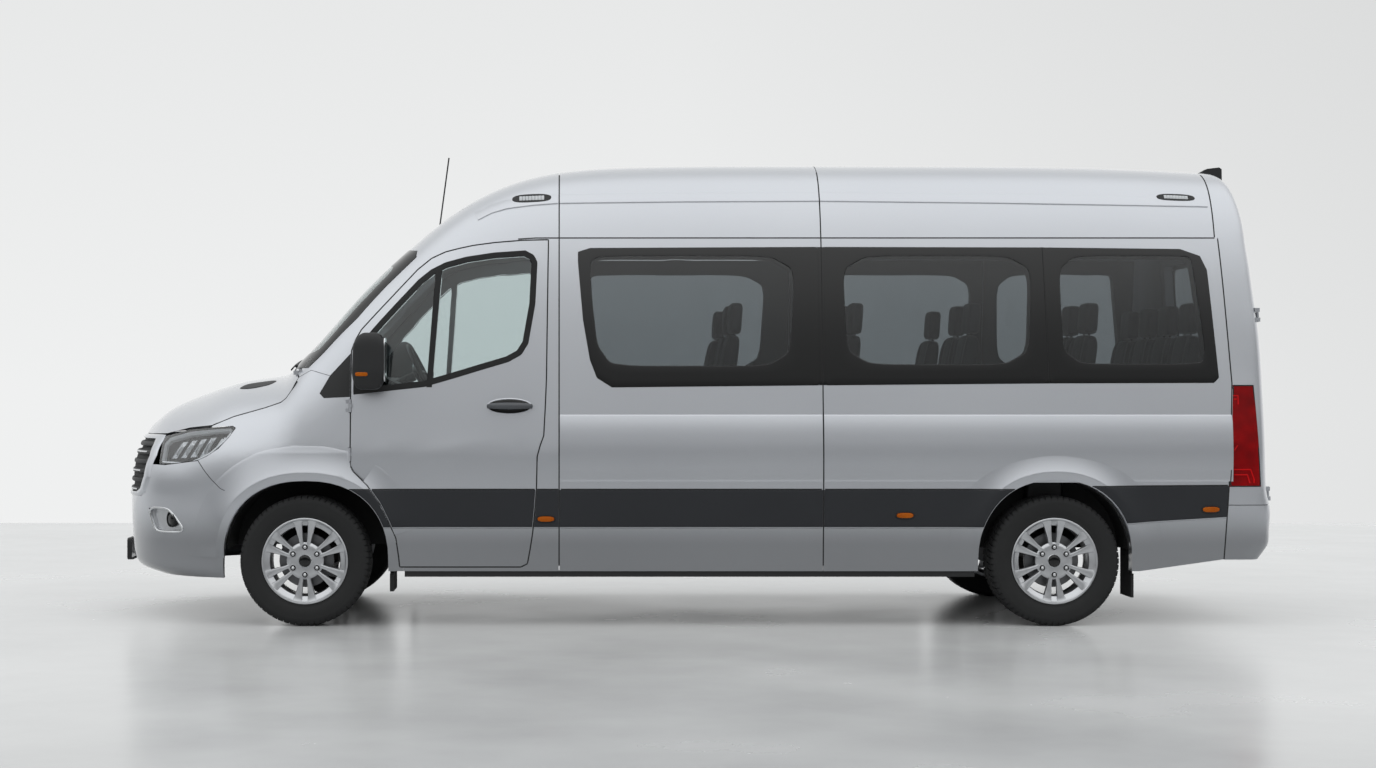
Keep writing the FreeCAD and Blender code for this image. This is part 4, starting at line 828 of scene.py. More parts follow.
# %% Creases
roof_crease = ([(992, 2358), (1070, 2399), (1163, 2426), (1320, 2445), (1461, 2455)],
               [(1471, 2455), (2194, 2463), (2985, 2467)], [(2993, 2467), (4034, 2455), (5187, 2435), (5258, 2433)])
step = [(-60, -2), (-54, 0.6), (-30, 2.8), (-5, 5.5), (0, 5.6), (2.5, 4.0), (3.5, -2)]
creases = [strip(side, even(path, 120, False), step) for path in roof_crease]
for left, right in ((1472, 2984), (2994, 5344)):
    z = np.array([1223, 1223, 1220, 1212, 1195, 1170, 1140, 1105, 1065, 1020, 970, 920, 880, 850, 838, 832, 830])
    lift = np.array([-3, -1.5, 0.3, 1.4, 3.4, 5.4, 6.6, 6.9, 6.4, 5.2, 3.5, 1.9, 1.0, 0.7, 0.6, -1.5, -3])
    x = np.linspace(left, right, 90)
    x = np.concatenate([x[:1], x, x[-1:]])
    rise = np.broadcast_to(lift, (len(x), len(z))).copy()
    rise[0] = rise[-1] = -3.0
    xs, zs = np.broadcast_to(x[:, None], rise.shape), np.broadcast_to(z[None, :], rise.shape)
    creases += [quads(side(xs, zs, rise)), quads(side(xs, zs, np.full(rise.shape, -3.0)))]
pair("creases", creases, paint, sharp=60)
print("seams and creases laid")

# %% [markdown]
# ## Printed borders of the windows
#
# Bonded panes carry a black ceramic border that hides the glue. It lies on the glass with no step, and its inner
# corners are rounder than the outer ones. Each border is a ring between the pane's outline and the clear part.

# %% Side window borders
windows = {
    "front": ([(1576, 2165), (1576, 2106), (1605, 1768), (1645, 1536), (1685, 1432), (1772, 1377), (2971, 1389),
               (2970, 2194), (1646, 2188)],
              [(1646, 2106), (1657, 1884), (1686, 1623), (1772, 1501), (2800, 1501), (2836, 2141), (1704, 2141)]),
    "middle": ([(3005, 1389), (3005, 2194), (R - 58, 2191), (R - 36, 1400)],
               [(3109, 2141), (3134, 1509), (R - 146, 1509), (R - 118, 2141)]),
    "rear": ([(R - 27, 1400), (R - 46, 2191), (R + 749, 2182), (R + 863, 2141), (R + 900, 2059), (R + 949, 1432),
              (R + 919, 1403)],
             [(R + 39, 2141), (R + 56, 1513), (R + 853, 1513), (R + 873, 1594), (R + 815, 2106), (R + 790, 2141)]),
}
flat_ring = [(0.0, -0.4), (0.0, 1.2), (0.008, 1.6), (0.03, 1.7), (0.35, 1.7), (0.65, 1.7), (0.97, 1.7), (0.992, 1.6),
             (1.0, 1.2), (1.0, -0.4), (0.5, -0.4)]
for name, (pane, opening) in windows.items():
    centre = np.mean(np.array(opening), 0)
    outer = by_angle(pane, centre, 320)
    inner = by_angle(rounded(opening, 4, 0.13), centre, 320)
    pair("border_%s_window" % name, [ring(side, inner, outer, flat_ring)], border)
rear_joint = [x_of(np.array(line)) for line in ([(R - 38, 1400), (R - 60, 2192)], [(R - 25, 1400), (R - 44, 2192)])]
joints = (patch(side, constant(2970), constant(3006), constant(1390), constant(2193), 1.4, 4, 40, -0.5, 3.0)
          + patch(side, *rear_joint, constant(1400), constant(2192), 1.4, 4, 40, -0.5, 3.0))
beads = [strip(side, even(path, 40, False), [(-1.8, 1), (-1.8, 2.6), (1.8, 2.6), (1.8, 1)])
         for path in ([(2989, 1392), (2989, 2192)], [(R - 32, 1402), (R - 52, 2190)])]
pair("window_joints", joints, border)
pair("window_beads", beads, rubber)
print("window borders:", len(windows) * 2)

# %% Door window seal and divider
door_glass = [(282, 1338), (689, 1382), (851, 1429), (1012, 1478), (1174, 1526), (1247, 1567), (1287, 1631),
              (1327, 1860), (1339, 2105), (1318, 2146), (1270, 2172), (1090, 2160), (928, 2136), (805, 2103),
              (724, 2062), (652, 2005), (523, 1866), (427, 1760), (322, 1638), (282, 1580)]
outline = even(door_glass, 260)
seal = ring(side, grown(outline, -33), grown(outline, 3),
            [(0.0, -0.5), (0.04, 1.2), (0.3, 1.8), (0.8, 2.2), (0.97, 1.6), (1.0, -1.0), (0.5, -1.0)])
bar_left = x_of(np.array([(701, 1370), (760, 2200)], float))
bar_right = x_of(np.array([(733, 1370), (798, 2200)], float))
bar = patch(side, bar_left, bar_right, constant(1378), constant(2080), 2.6, 4, 30, -1.0, 4.0)
pair("door_window_seal", [seal] + bar, rubber, "door_front_")
print("door window seals made")

# %% Windscreen and rear window borders
screen = [(-868, 1490), (868, 1490), (855, 1660), (848, 1780), (812, 1961), (785, 2140), (740, 2182), (500, 2202),
          (-500, 2202), (-740, 2182), (-785, 2140), (-812, 1961), (-848, 1780), (-855, 1660)]
outer = by_angle(screen, (0, 1850), 320)
inner = by_angle(rounded([(-800, 1570), (800, 1570), (790, 1700), (760, 1900), (715, 2090), (400, 2110),
                          (-400, 2110), (-715, 2090), (-760, 1900), (-790, 1700)], 2, 0.15), (0, 1850), 320)


def on_screen(y, z, lift=0.0):
    """The windscreen's surface, where the plan is as wide as it is 500 mm up."""
    return fore(y, z, lift, 500.0)


piece("border_windscreen", [ring(on_screen, inner, grown(outer, -1.5), flat_ring)], border, "body")
rear_glass = [(70, 1400), (800, 1400), (770, 1960), (735, 2180), (680, 2215), (70, 2215)]
outer = by_angle(rounded(rear_glass, 1, 0.04), (435, 1800), 200)
inner = by_angle(rounded([(130, 1470), (730, 1470), (705, 1950), (672, 2120), (630, 2150), (130, 2150)], 2, 0.12),
                 (435, 1800), 200)
for hand in ("right", "left"):
    piece("border_rear_" + hand, [ring(aft, inner, grown(outer, -1.0), flat_ring)], border, "door_rear_" + hand,
          mirror=hand == "left")
print("windscreen and rear borders made")

# %% [markdown]
# ## Rear door handle
#
# Two fingers go behind a bowed grip in a shallow oval cup. The bow is a bar whose lift follows half a sine wave that
# is cut off at its top, so it stands level over the cup and dips into the sheet at both ends.


# %% Rear handle
def oval(x, z, half_x, half_z, n=48):
    """An ellipse as an outline of n points."""
    angle = np.linspace(0, 2 * np.pi, n, endpoint=False)
    return np.stack([x + half_x * np.cos(angle), z + half_z * np.sin(angle)], 1)


def tube(path, radius, n=12, flat=1.0, up=(0.0, 0.0, 1.0)):
    """A round or flattened bar along points: circles stand square to the path, and flat faces close its ends."""
    path = np.array(path, float)
    tangent = np.gradient(path, axis=0)
    tangent /= np.linalg.norm(tangent, axis=1, keepdims=True)
    side_way = np.cross(tangent, np.array(up, float))
    side_way /= np.linalg.norm(side_way, axis=1, keepdims=True) + 1e-9
    up_way = np.cross(side_way, tangent)
    r = np.broadcast_to(np.asarray(radius, float), (len(path),))
    a = np.linspace(0, 2 * np.pi, n, endpoint=False)
    rings = (path[:, None] + side_way[:, None] * (np.cos(a)[None, :, None] * r[:, None, None])
             + up_way[:, None] * (np.sin(a)[None, :, None] * r[:, None, None] * flat))
    return quads(rings, False, True, True)


cup = plug(aft, oval(130, 1080, 74, 34), [(0.0, 0.6), (0.5, 0.7), (0.9, 1.0), (1.0, 0.3), (1.0, -1.5), (0.0, -1.5)])
bow = np.linspace(0, 1, 24)
grip = tube(aft(70 + 120 * bow, np.full(24, 1084.0), 4 + 14 * np.clip(np.sin(bow * np.pi) * 3, 0, 1)), 8, 14, 1.2)
piece("rear_handle", [cup, grip], border, "door_rear_right", slot="black_plastic")
print("rear handle made")

# %% [markdown]
# ## Tyres
#
# A van tyre has round sidewalls, four grooves round the tread, and blocks at the shoulders that show from the side.
# The section is turned about the axle, and wherever the angle falls in a gap between blocks the radius drops, so the
# tread is real shape. Five angles for each of 64 pitches are enough for steep block walls. The sidewall keeps plain
# rings, with no words on it.

# %% Tyres
sidewall = [(234, 100), (238, 104.5), (250, 107), (256, 110.5), (262, 110.5), (270, 113.8), (284, 118.4),
            (300, 121.3), (318, 122.4), (333, 121.8), (338, 122.3), (342, 121.4), (350, 119.5), (358, 116.5),
            (365, 112), (370, 106), (373, 100), (374.6, 92), (375.3, 80), (375.5, 73)]
tread = [(367.5, 71), (367.5, 64), (375.5, 62), (375.5, 48), (375.5, 34), (367.5, 32), (367.5, 24), (375.5, 22),
         (375.5, 0)]
half_section = np.array(sidewall + tread, float)
inside = np.array([(234, 92), (252, 94), (280, 104), (318, 108), (350, 98), (356, 80)], float)
section = np.concatenate([half_section * [1, -1], half_section[-2::-1], inside, inside[::-1] * [1, -1]])
tread_pitches = 64
share = np.tile([0.0, 0.02, 0.17, 0.19, 0.6], tread_pitches)
angle = (np.repeat(np.arange(tread_pitches), 5) + share) / tread_pitches * 2 * np.pi
in_gap = (share > 0.01) & (share < 0.18)
r, y = section.T
outside = np.arange(len(section)) < len(section) - 2 * len(inside)
shoulder_depth = np.where(outside & (np.abs(y) > 72), np.clip((r - 350) / 16, 0, 1) * 7, 0)
rib_depth = np.where(outside & (np.abs(y) < 63) & (np.abs(y) > 33) & (r > 374), 5, 0)
depth = shoulder_depth + rib_depth
slant = np.abs(y) / 122 * 0.05
around = angle[:, None] + np.where(outside, slant, 0)[None, :]
radius = r[None, :] - depth[None, :] * in_gap[:, None]
tyre_points = np.stack([radius * np.cos(around), np.broadcast_to(y, radius.shape), radius * np.sin(around)], -1)
tyre_scale = tyre_radius / 375.5
wheels = [(end + "_" + hand, x, 1 if hand == "left" else -1) for end, x in (("front", 0.0), ("rear", R))
          for hand in ("left", "right")]


def at_wheel(part, x):
    """A part made about the origin, moved to the left wheel on the axle at x."""
    points, faces = part
    return points + np.array([x, -track_half, tyre_radius]), faces


for name, x, hand in wheels:
    piece("tyre_tread_" + name, [at_wheel(quads(tyre_points * tyre_scale, True, True), x)], rubber, "wheel_" + name,
          node="tyre_" + name, slot="tyre", mirror=hand < 0, sharp=30)
print("tyre faces:", tyre_points.shape[0] * tyre_points.shape[1])

# %% [markdown]
# ## Wheels
#
# The cast wheel has six pairs of spokes. Each spoke is narrow at the hub and flares into the rim, with a crowned face
# and square sides, so it is a loop of eight points carried outwards while its width, offset and dish change. Barrel
# and hub are turned profiles. The six nuts sit in round pockets on the lines of the narrow slots: each pocket is a
# flat gloss black disc inside a raised ring, painted shade in place of a recess.

# %% Spokes
spoke_r = np.linspace(84, 238, 14)
offset = np.interp(spoke_r, [84, 110, 128, 205, 238], [17, 21.5, 24.5, 37, 43])
width = np.interp(spoke_r, [84, 110, 128, 205, 225, 238], [28, 22, 23, 42, 50, 60])
dish = np.interp(spoke_r, [84, 110, 180, 225, 238], [-97, -98, -100, -104, -108])
loop = np.array([(-0.5, 26), (-0.5, 5), (-0.44, 1.2), (-0.2, -0.8), (0.2, -0.8), (0.44, 1.2), (0.5, 5), (0.5, 26)])
spokes = []
for k in range(6):
    for sign in (-1, 1):
        lateral = sign * offset[:, None] + width[:, None] * loop[None, :, 0]
        radial = np.sqrt(np.maximum(spoke_r[:, None] ** 2 - lateral ** 2, 1))
        a = math.radians(90 + 60 * k)
        spokes.append(quads(np.stack([radial * math.cos(a) - lateral * math.sin(a),
                                      dish[:, None] + loop[None, :, 1],
                                      radial * math.sin(a) + lateral * math.cos(a)], -1), False, True, True))
print("spokes:", len(spokes))


# %% Turned parts of the wheel
def revolve(profile, centre=(0.0, 0.0, 0.0), n=96, closed=True):
    """A profile of (radius, y) turned about the Y axis through the centre."""
    r, y = np.array(profile, float).T
    a = np.linspace(0, 2 * np.pi, n, endpoint=False)
    points = np.stack([r[None, :] * np.cos(a)[:, None], np.broadcast_to(y, (n, len(y))),
                       r[None, :] * np.sin(a)[:, None]], -1)
    return quads(points + np.array(centre), True, closed)


barrel = revolve([(246, -114), (249, -112), (249.5, -108), (246, -105.5), (233, -104), (230, -96), (212, -84),
                  (206, -60), (208, 40), (226, 100), (233, 105), (248, 106), (249, 111), (246, 114), (230, 112),
                  (216, 98), (201, 42), (199, -58), (205, -88), (226, -99), (234, -106), (240, -113)], n=144)
hub = revolve([(34, -90), (35, -97), (60, -98.6), (88, -98.4), (100, -96), (107, -90), (107, -72), (60, -60),
               (34, -60)], n=96)
bead_ring = revolve([(15.5, -98), (16.5, -100.5), (19, -100.8), (20.5, -99.2), (21, -96), (15, -96)], n=28)
nut = revolve([(0.01, -109), (5, -108.5), (9.5, -106), (10.5, -103), (10.5, -96), (0.01, -96)], n=6, closed=False)
# Painted shade: a flat gloss black disc inside each nut's ring stands in for the shadow of a pocket
pocket = revolve([(0.01, -99.2), (15.8, -99.2), (15.8, -96), (0.01, -96)], n=24, closed=False)
cap = revolve([(0.01, -102.5), (18, -102.2), (27, -101), (31.5, -99), (33.5, -96), (33.5, -88), (0.01, -88)],
              n=64, closed=False)
cap_ring = revolve([(33.6, -99.5), (35, -101.5), (37.5, -101.5), (39.5, -99.5), (40, -95), (33.6, -95)], n=64)
brake = revolve([(60, -34), (82, -34), (84, -22), (156, -22), (158, -20), (158, -3), (156, 0), (60, 0)], n=96)
print("barrel points:", len(barrel[0]))

# %% Wheel pieces
def on_circle(part, radius, k):
    """The part moved to one of six places round the axle."""
    a = math.radians(90 + 60 * k)
    return part[0] + np.array([radius * math.cos(a), 0, radius * math.sin(a)]), part[1]


def six(part, radius=79.5):
    """Six copies on the circle of the nuts."""
    return [on_circle(part, radius, k) for k in range(6)]


wheel_parts = {
    "wheel_alloy": ([barrel, hub] + spokes + six(bead_ring), alloy, "rim_", None),
    "wheel_nuts": (six(nut) + [cap_ring], chrome, None, None),
    # the pocket discs are painted shade; the centre cap is gloss black
    "wheel_pocket_shade_and_caps": (six(pocket) + [cap], border, None, "black_plastic"),
    "brake_disc": ([brake], disc_steel, None, None),
}
for name, x, hand in wheels:
    for label, (parts, material, node, slot) in wheel_parts.items():
        piece(label + "_" + name, [at_wheel(p, x) for p in parts], material, "wheel_" + name,
              node=node + name if node else None, slot=slot, mirror=hand < 0, sharp=35)
print("wheel pieces:", len(wheels) * len(wheel_parts))

# %% [markdown]
# ## Headlamps
#
# A headlamp is a clear cover over a dark box with bright things in it: a light guide that follows the upper edge and
# four slanted reflector chambers. All of them follow the body's own surface at different depths, so the lamp keeps
# the sweep of the wing whatever side it is seen from.

# %% Headlamps
headlamp = [(-885, 1073), (-865, 1093), (-709, 1132), (-560, 1146), (-432, 1154), (-412, 1142), (-447, 1089),
            (-507, 1022), (-581, 975), (-636, 952), (-844, 924), (-888, 926)]
lamp_line = grown(even(rounded(headlamp, 1, 0.06), 220), -1.5)
lamp_centre = (-690, 1035)
cover = plug(side, lamp_line, [(0.0, 0.0), (0.5, 0.0), (0.93, 0.0), (0.99, -0.5), (1.0, -2.0), (1.0, -4.0),
                               (0.95, -4.5), (0.5, -4.5), (0.0, -4.5)], lamp_centre)
bowl = plug(side, lamp_line, [(0.0, -60.0), (0.55, -58.0), (0.9, -52.0), (0.965, -30.0), (0.97, -6.0), (1.0, -6.0),
                              (1.0, -68.0), (0.5, -70.0), (0.0, -70.0)], lamp_centre)
guide_path = even([(-868, 948), (-862, 1050), (-838, 1078), (-709, 1112), (-560, 1127), (-452, 1135), (-440, 1122)],
                  60, False)
guide = strip(side, guide_path, [(-11, -30), (-11, -14), (-6, -9), (6, -9), (11, -14), (11, -30)])
rim_line = strip(side, even([(-872, 944), (-700, 940), (-636, 962), (-560, 1000), (-470, 1080), (-440, 1124)], 50,
                            False), [(-4, -20), (-4, -10), (4, -10), (4, -20)])
chambers, lights = [], []
for k in range(4):
    x0 = -822 + 62 * k
    z0, z1 = 966 + 4 * k, 1072 + 9 * k
    cell = even([(x0, z0), (x0 + 40, z0 + 2), (x0 + 104, z1), (x0 + 64, z1 - 4)], 60)
    chambers.append(plug(side, grown(cell, -2), [(0.0, -52.0), (0.5, -46.0), (0.9, -26.0), (1.0, -22.0),
                                                 (1.0, -54.0), (0.0, -56.0)]))
    bulb = even([(x0 + 30, z0 + 22), (x0 + 46, z0 + 22), (x0 + 76, z1 - 24), (x0 + 60, z1 - 24)], 40)
    lights.append(plug(side, bulb, [(0.0, -24.0), (0.6, -26.0), (1.0, -34.0), (1.0, -44.0), (0.0, -46.0)]))
led_rows = [strip(side, even([(-560 + 26 * k, 990 + 24 * k), (-500 + 16 * k, 1090 + 8 * k)], 12, False),
                  [(-5, -34), (-5, -24), (0, -20), (5, -24), (5, -34)]) for k in range(3)]
pair("headlamp_cover", [cover], lens, node="front_lamps")
pair("headlamp_box", [bowl], rubber)
pair("headlamp_guide", [guide], white_lens)
pair("headlamp_reflectors", chambers + [rim_line] + led_rows, mirror_metal)
pair("headlamp_lights", lights, white_lens)
print("headlamps made")

# %% [markdown]
# ## Grille
#
# The radiator grille is a dark opening with six bars in a painted frame. Every second bar carries a thin bright trim,
# a net closes the depth behind them, and the place for a badge stays bare. All of it lies on the nose by `fore`.

# %% Grille
grille_line = [(-606, 1098), (606, 1098), (641, 1062), (693, 979), (713, 844), (690, 760), (640, 735), (-640, 735),
               (-690, 760), (-713, 844), (-693, 979), (-641, 1062)]
outer = by_angle(grille_line, (0, 905), 240)
inner = by_angle([(y * 0.93, 905 + (z - 905) * 0.86) for y, z in grille_line], (0, 905), 240)
frame_ring = ring(fore, inner, outer, [(0.0, -14), (0.0, 6), (0.15, 9), (0.6, 8), (0.92, 4), (1.0, 0), (1.0, -3)])
piece("grille_frame", [frame_ring], paint, "body")
bar_profile = [(-13, -12), (-13, -6), (-11, -2), (-4, 1), (5, 0.5), (11, -3), (13, -7), (13, -12)]
bars, trims = [], []
for z in (775, 830, 885, 940, 995, 1045):
    reach = np.interp(z, [735, 760, 844, 979, 1062, 1098], [600, 640, 660, 640, 590, 560])
    path = np.stack([np.linspace(-reach, reach, 70), np.full(70, z)], 1)
    bars.append(strip(fore, path, bar_profile))
    if z in (775, 885, 995):
        trims.append(strip(fore, path[3:-3], [(-5, -2.0), (-4, 3), (4, 3), (5, -2.0)]))
piece("grille_bars", bars, grained, "body", node="grille")
piece("grille_bar_trim", trims, chrome, "body")
piece("grille_net", [plug(fore, inner, [(0.0, -9), (0.5, -9), (1.0, -9), (1.0, -13), (0.5, -13), (0.0, -13)],
                          (0, 905))], rubber, "body")
print("grille bars:", len(bars))

# %% [markdown]
# ## Fog lamps, number plate frame and bonnet vents
#
# The fog lamps sit low at the bumper's corners, in a pale pocket with a bright surround. Surround and pocket follow
# the skin, while the lamp itself is turned from a profile and looks out of its pocket at an angle. The plate's frame
# is a plain ring in the plane of the plate, and a vent is a grained plate let into each rear corner of the bonnet.

# %% Fog lamps
fog_pocket = [(-951, 669), (-826, 670), (-780, 630), (-723, 558), (-740, 537), (-889, 536), (-914, 561)]
fog_line = even(rounded(fog_pocket, 2, 0.2), 160)
surround = ring(side, grown(fog_line, -3), grown(fog_line, 9), [(0.0, -10), (0.0, 2), (0.3, 5), (0.7, 5), (0.97, 2),
                                                               (1.0, -2)])
pocket_floor = plug(side, grown(fog_line, -4), [(0.0, -24), (0.5, -24), (0.95, -24), (1.0, -10), (1.0, -27),
                                                (0, -27)], (-850, 605))
fog_lens = revolve([(0.01, 3), (14, 4), (28, 7), (36, 11), (39, 15), (39, 26), (0.01, 26)], n=64, closed=False)
fog_rim = revolve([(39.5, 12), (40.5, 7), (43, 6), (46, 8), (47, 14), (47, 27), (39.5, 27)], n=64)
turn = math.radians(-51)
fog_axes = np.array([[math.cos(turn), -math.sin(turn), 0], [math.sin(turn), math.cos(turn), 0], [0, 0, 1]])


def at_fog(part):
    """The lamp turned about Z to look out of its pocket."""
    return part[0] @ fog_axes.T + np.array([-811, -825, 608]), part[1]


pair("fog_surround", [surround], chrome)
pair("fog_pocket", [pocket_floor], alloy)
pair("fog_rim", [at_fog(fog_rim)], grained)
pair("fog_glass", [at_fog(fog_lens)], border, slot="clear_lens")
print("fog lamps made")

# %% Number plate frame and bonnet vents
plate_low, plate_high = [(np.array(v) - np.array([front_axle, 0, 0])) * 1000 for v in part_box("number_plate")]
plate_z = (plate_low[2] + plate_high[2]) / 2
plate_half = ((plate_high[1] - plate_low[1]) / 2, (plate_high[2] - plate_low[2]) / 2)


def on_plate(y, z, lift):
    """The plane of the number plate's face."""
    lift = np.broadcast_to(lift, y.shape)
    return np.stack([plate_low[0] - lift, y, z], -1)


def rectangle(x, z, half_x, half_z):
    """The four corners of a rectangle about a centre."""
    return [(x - half_x, z - half_z), (x + half_x, z - half_z), (x + half_x, z + half_z), (x - half_x, z + half_z)]


edge = even(rounded(rectangle(0, plate_z, *plate_half), 2, 0.02), 160)
plate_frame = ring(on_plate, grown(edge, 0.2), grown(edge, 9), [(0, -3), (0, -0.2), (0.7, -0.2), (1, -2), (1, -30),
                                                                (0.7, -30)])
piece("number_plate_frame", [plate_frame], grained, "body")
vent_line = even(rounded([(-455, 1368), (-420, 1398), (-205, 1425), (-250, 1392), (-370, 1370)], 2, 0.2), 80)
vent_plate = plug(side, vent_line, [(0.0, 1.0), (0.6, 1.2), (0.93, 2.5), (1.0, 0.5), (1.0, -2.0), (0.0, -2.0)])
pair("bonnet_vent", [vent_plate], grained, "bonnet")
print("front pieces made")

# %% [markdown]
# ## Mirrors and door handles
#
# The mirror is a tall rounded box, narrower at the foot, on a short arm. A superellipsoid, a ball whose sines and
# cosines are raised to a small power, gives such a box with soft edges. The pull handle is a bowed bar in front of a
# shallow cup.


# %% Mirrors and handles
def soft_box(size, power=0.35, n_u=28, n_v=44):
    """A superellipsoid about the origin: each coordinate is a product of signed powers of sine and cosine."""
    def bend(value, p):
        """A power that keeps the sign."""
        return np.sign(value) * np.abs(value) ** p
    u = np.linspace(-np.pi / 2, np.pi / 2, n_u)[None, :]
    v = np.linspace(0, 2 * np.pi, n_v, endpoint=False)[:, None]
    reach = bend(np.cos(u), power)
    shape = np.stack([reach * bend(np.cos(v), power), reach * bend(np.sin(v), power),
                      np.broadcast_to(bend(np.sin(u), power), (n_v, n_u))], -1)
    return shape * np.array(size) / 2


case = soft_box((193, 138, 326), 0.42, 40, 56)
height = case[..., 2] / 326 + 0.5
case[..., 0] *= np.interp(height, [0, 0.3, 0.8, 1], [0.86, 1.0, 1.0, 0.72])
case[..., 1] *= np.interp(height, [0, 0.3, 1], [0.8, 1.0, 0.9])
case[..., 0] += np.interp(height, [0, 1], [-2, 10])
case += np.array([381, -1097, 1527])
arm = tube([(368, -948, 1418), (368, -985, 1420), (370, -1020, 1424), (374, -1060, 1430)], [26, 24, 24, 26], 20, 0.9)
plate = soft_box((8, 112, 250), 0.3, 24, 40) + np.array([474, -1097, 1535])
turn_lamp = soft_box((70, 10, 22), 0.4, 16, 30) + np.array([345, -1163, 1452])
bowed = np.linspace(0, 1, 30)
grip_x = 1058 + 250 * bowed
grip_lift = 8 + 22 * np.clip(np.sin(bowed * np.pi) * 3.2, 0, 1)
grip = tube(side(grip_x, np.full(30, 1268.0), grip_lift), 11 + 5 * np.sin(bowed * np.pi), 18, 1.25)
cup_line = oval(1180, 1268, 124, 40)
cup_rim = ring(side, cup_line, grown(cup_line, 8), [(0, -2), (0, 1), (0.4, 2.2), (1, 0.4), (1, -2)])
cup = plug(side, cup_line, [(0.0, 0.4), (0.5, 0.5), (0.9, 0.8), (1.0, 0.2), (1.0, -1.5), (0.0, -1.5)])
lock = plug(side, oval(1300, 1268, 9, 9), [(0.0, 20), (0.8, 20), (1.0, 18), (1.0, 4), (0.0, 4)])
pair("mirror_case", [quads(case, True), arm], grained, "door_front_", node="mirror_")
pair("mirror_glass", [quads(plate, True)], mirror_metal, "door_front_")
pair("mirror_turn_lamp", [quads(turn_lamp, True)], amber_lens, "door_front_")
pair("handle_grip", [grip], handle_grey, "door_front_", node="door_handle_")
pair("handle_cup", [cup, lock], border, "door_front_", slot="black_plastic")
pair("handle_rim", [cup_rim], paint, "door_front_")
print("mirrors and handles made")

# %% [markdown]
# ## Roof lamps and side markers
#
# Small moulded lamps sit on dark grained bases. A roof lamp is a dark frame with eight clear cells in a row, tilted
# with the roof's edge, and a side marker is an amber lens in a dark rim. Each is a closed disc over its outline.

# %% Roof lamps and side markers
roof_lamps = [(1191, 1422, 2486, 7, 26), (R + 642, R + 866, 2490, -9, 20)]
markers = [(1391, 620), (3457, 641), (R + 892, 675)]
frames, whites, ambers, rims = [], [], [], []
for x0, x1, z, tilt, half in roof_lamps:
    middle = (x0 + x1) / 2
    line = even(rounded(rectangle(middle, z, (x1 - x0) / 2, half), 3, 0.22), 90)
    line[:, 1] += tilt * (line[:, 0] - middle) / (x1 - x0)
    frames.append(plug(side, line, [(0.0, 3.0), (0.7, 4.0), (0.95, 5.0), (1.0, 1.0), (1.0, -3.0), (0.0, -3.0)]))
    for x in x0 + 42 + (np.arange(8) + 0.5) * (x1 - x0 - 84) / 8:
        cell = even(rectangle(x, z + tilt * (x - middle) / (x1 - x0), 8.4, half / 2), 24)
        whites.append(plug(side, cell, [(0.0, 7.0), (0.7, 7.0), (1.0, 5.0), (1.0, 1.0), (0.0, 1.0)]))
for x, z in markers:
    line = even(rounded(rectangle(x, z, 54, 22), 3, 0.22), 60)
    ambers.append(plug(side, grown(line, -6), [(0.0, 11.0), (0.6, 11.0), (0.9, 9.0), (1.0, 5.0), (1.0, -2.0),
                                               (0.0, -2.0)]))
    rims.append(ring(side, grown(line, -6), line, [(0, -2), (0, 6), (0.5, 8), (1, 4), (1, -2)]))
pair("marker_lenses", ambers, amber_lens, node="marker_lamps")
pair("marker_rims", rims, grained)
pair("roof_lamp_frames", frames, grained)
pair("roof_lamp_lights", whites, white_lens)
print("roof lamps and markers made")

# %% [markdown]
# ## Tail lamps
#
# The CAD's red lens wraps the rear corner. On it lie what gives a lamp its depth by day: a deep red column with small
# bright cells, and light guides as raised lines. They need the corner's own surface, which rounds off from the side
# to the rear, so `corner` gives it as seen from the side.


# %% Tail lamps
def corner(x, z, lift=0.0):
    """The body's rear corner from the side: the wall's half width times (1 - v^8)^(1/8), v the share of the tail."""
    def solve(x, z):
        """The wall's distance from the middle plane."""
        v = np.clip((x - tail_start) / tail(z), 0, 0.995)
        return half_width(R + 900, z) * (1 - v ** 8) ** (1 / 8)
    return lifted(solve, x, z, lift, ("side", [0, 2, 1])) * np.array([1, -1, 1])


lamp = even(rounded([(5352, 1392), (5475, 1392), (5510, 805), (5324, 805)], 1, 0.03), 240)
surround = ring(corner, grown(lamp, -7), grown(lamp, -1), [(0, -2), (0, 1.5), (1, 1.5), (1, -2)])
guide_paths = ([(5352, 1330), (5380, 1330), (5380, 1060), (5350, 1015)],
               [(5346, 905), (5444, 905), (5464, 850), (5464, 826)], [(5350, 875), (5425, 875), (5440, 826)])
guides = [strip(corner, even(path, 60, False), [(-4, -1), (-3.5, 2.2), (3.5, 2.2), (4, -1)]) for path in guide_paths]
cells = [plug(corner, even(rectangle(5364, z + 4.5, 10, 4.5), 24),
              [(0.0, 2.0), (0.8, 2.0), (1.0, 0.6), (1.0, -1.0), (0.0, -1.0)]) for z in np.arange(1085, 1310, 22.0)]
column_line = even(rounded([(5345, 1300), (5395, 1300), (5395, 1060), (5360, 1010), (5345, 1010)], 1, 0.1), 120)
column = plug(corner, column_line, [(0.0, 0.7), (0.8, 0.7), (1.0, 0.5), (1.0, -1.0), (0.0, -1.0)])
pair("tail_lamp_edge", [surround], rubber)
pair("tail_lamp_column", [column], deep_red)
pair("tail_lamp_guides", guides + cells, red_glow)
print("tail lamp cells:", len(cells))

# %% [markdown]
# ## Wipers
#
# Each wiper is a rubber blade in a grained carrier that lies on the windscreen, with an arm above its inner end. Both
# are profiles carried along a line of the front view, so they hug the curved glass.

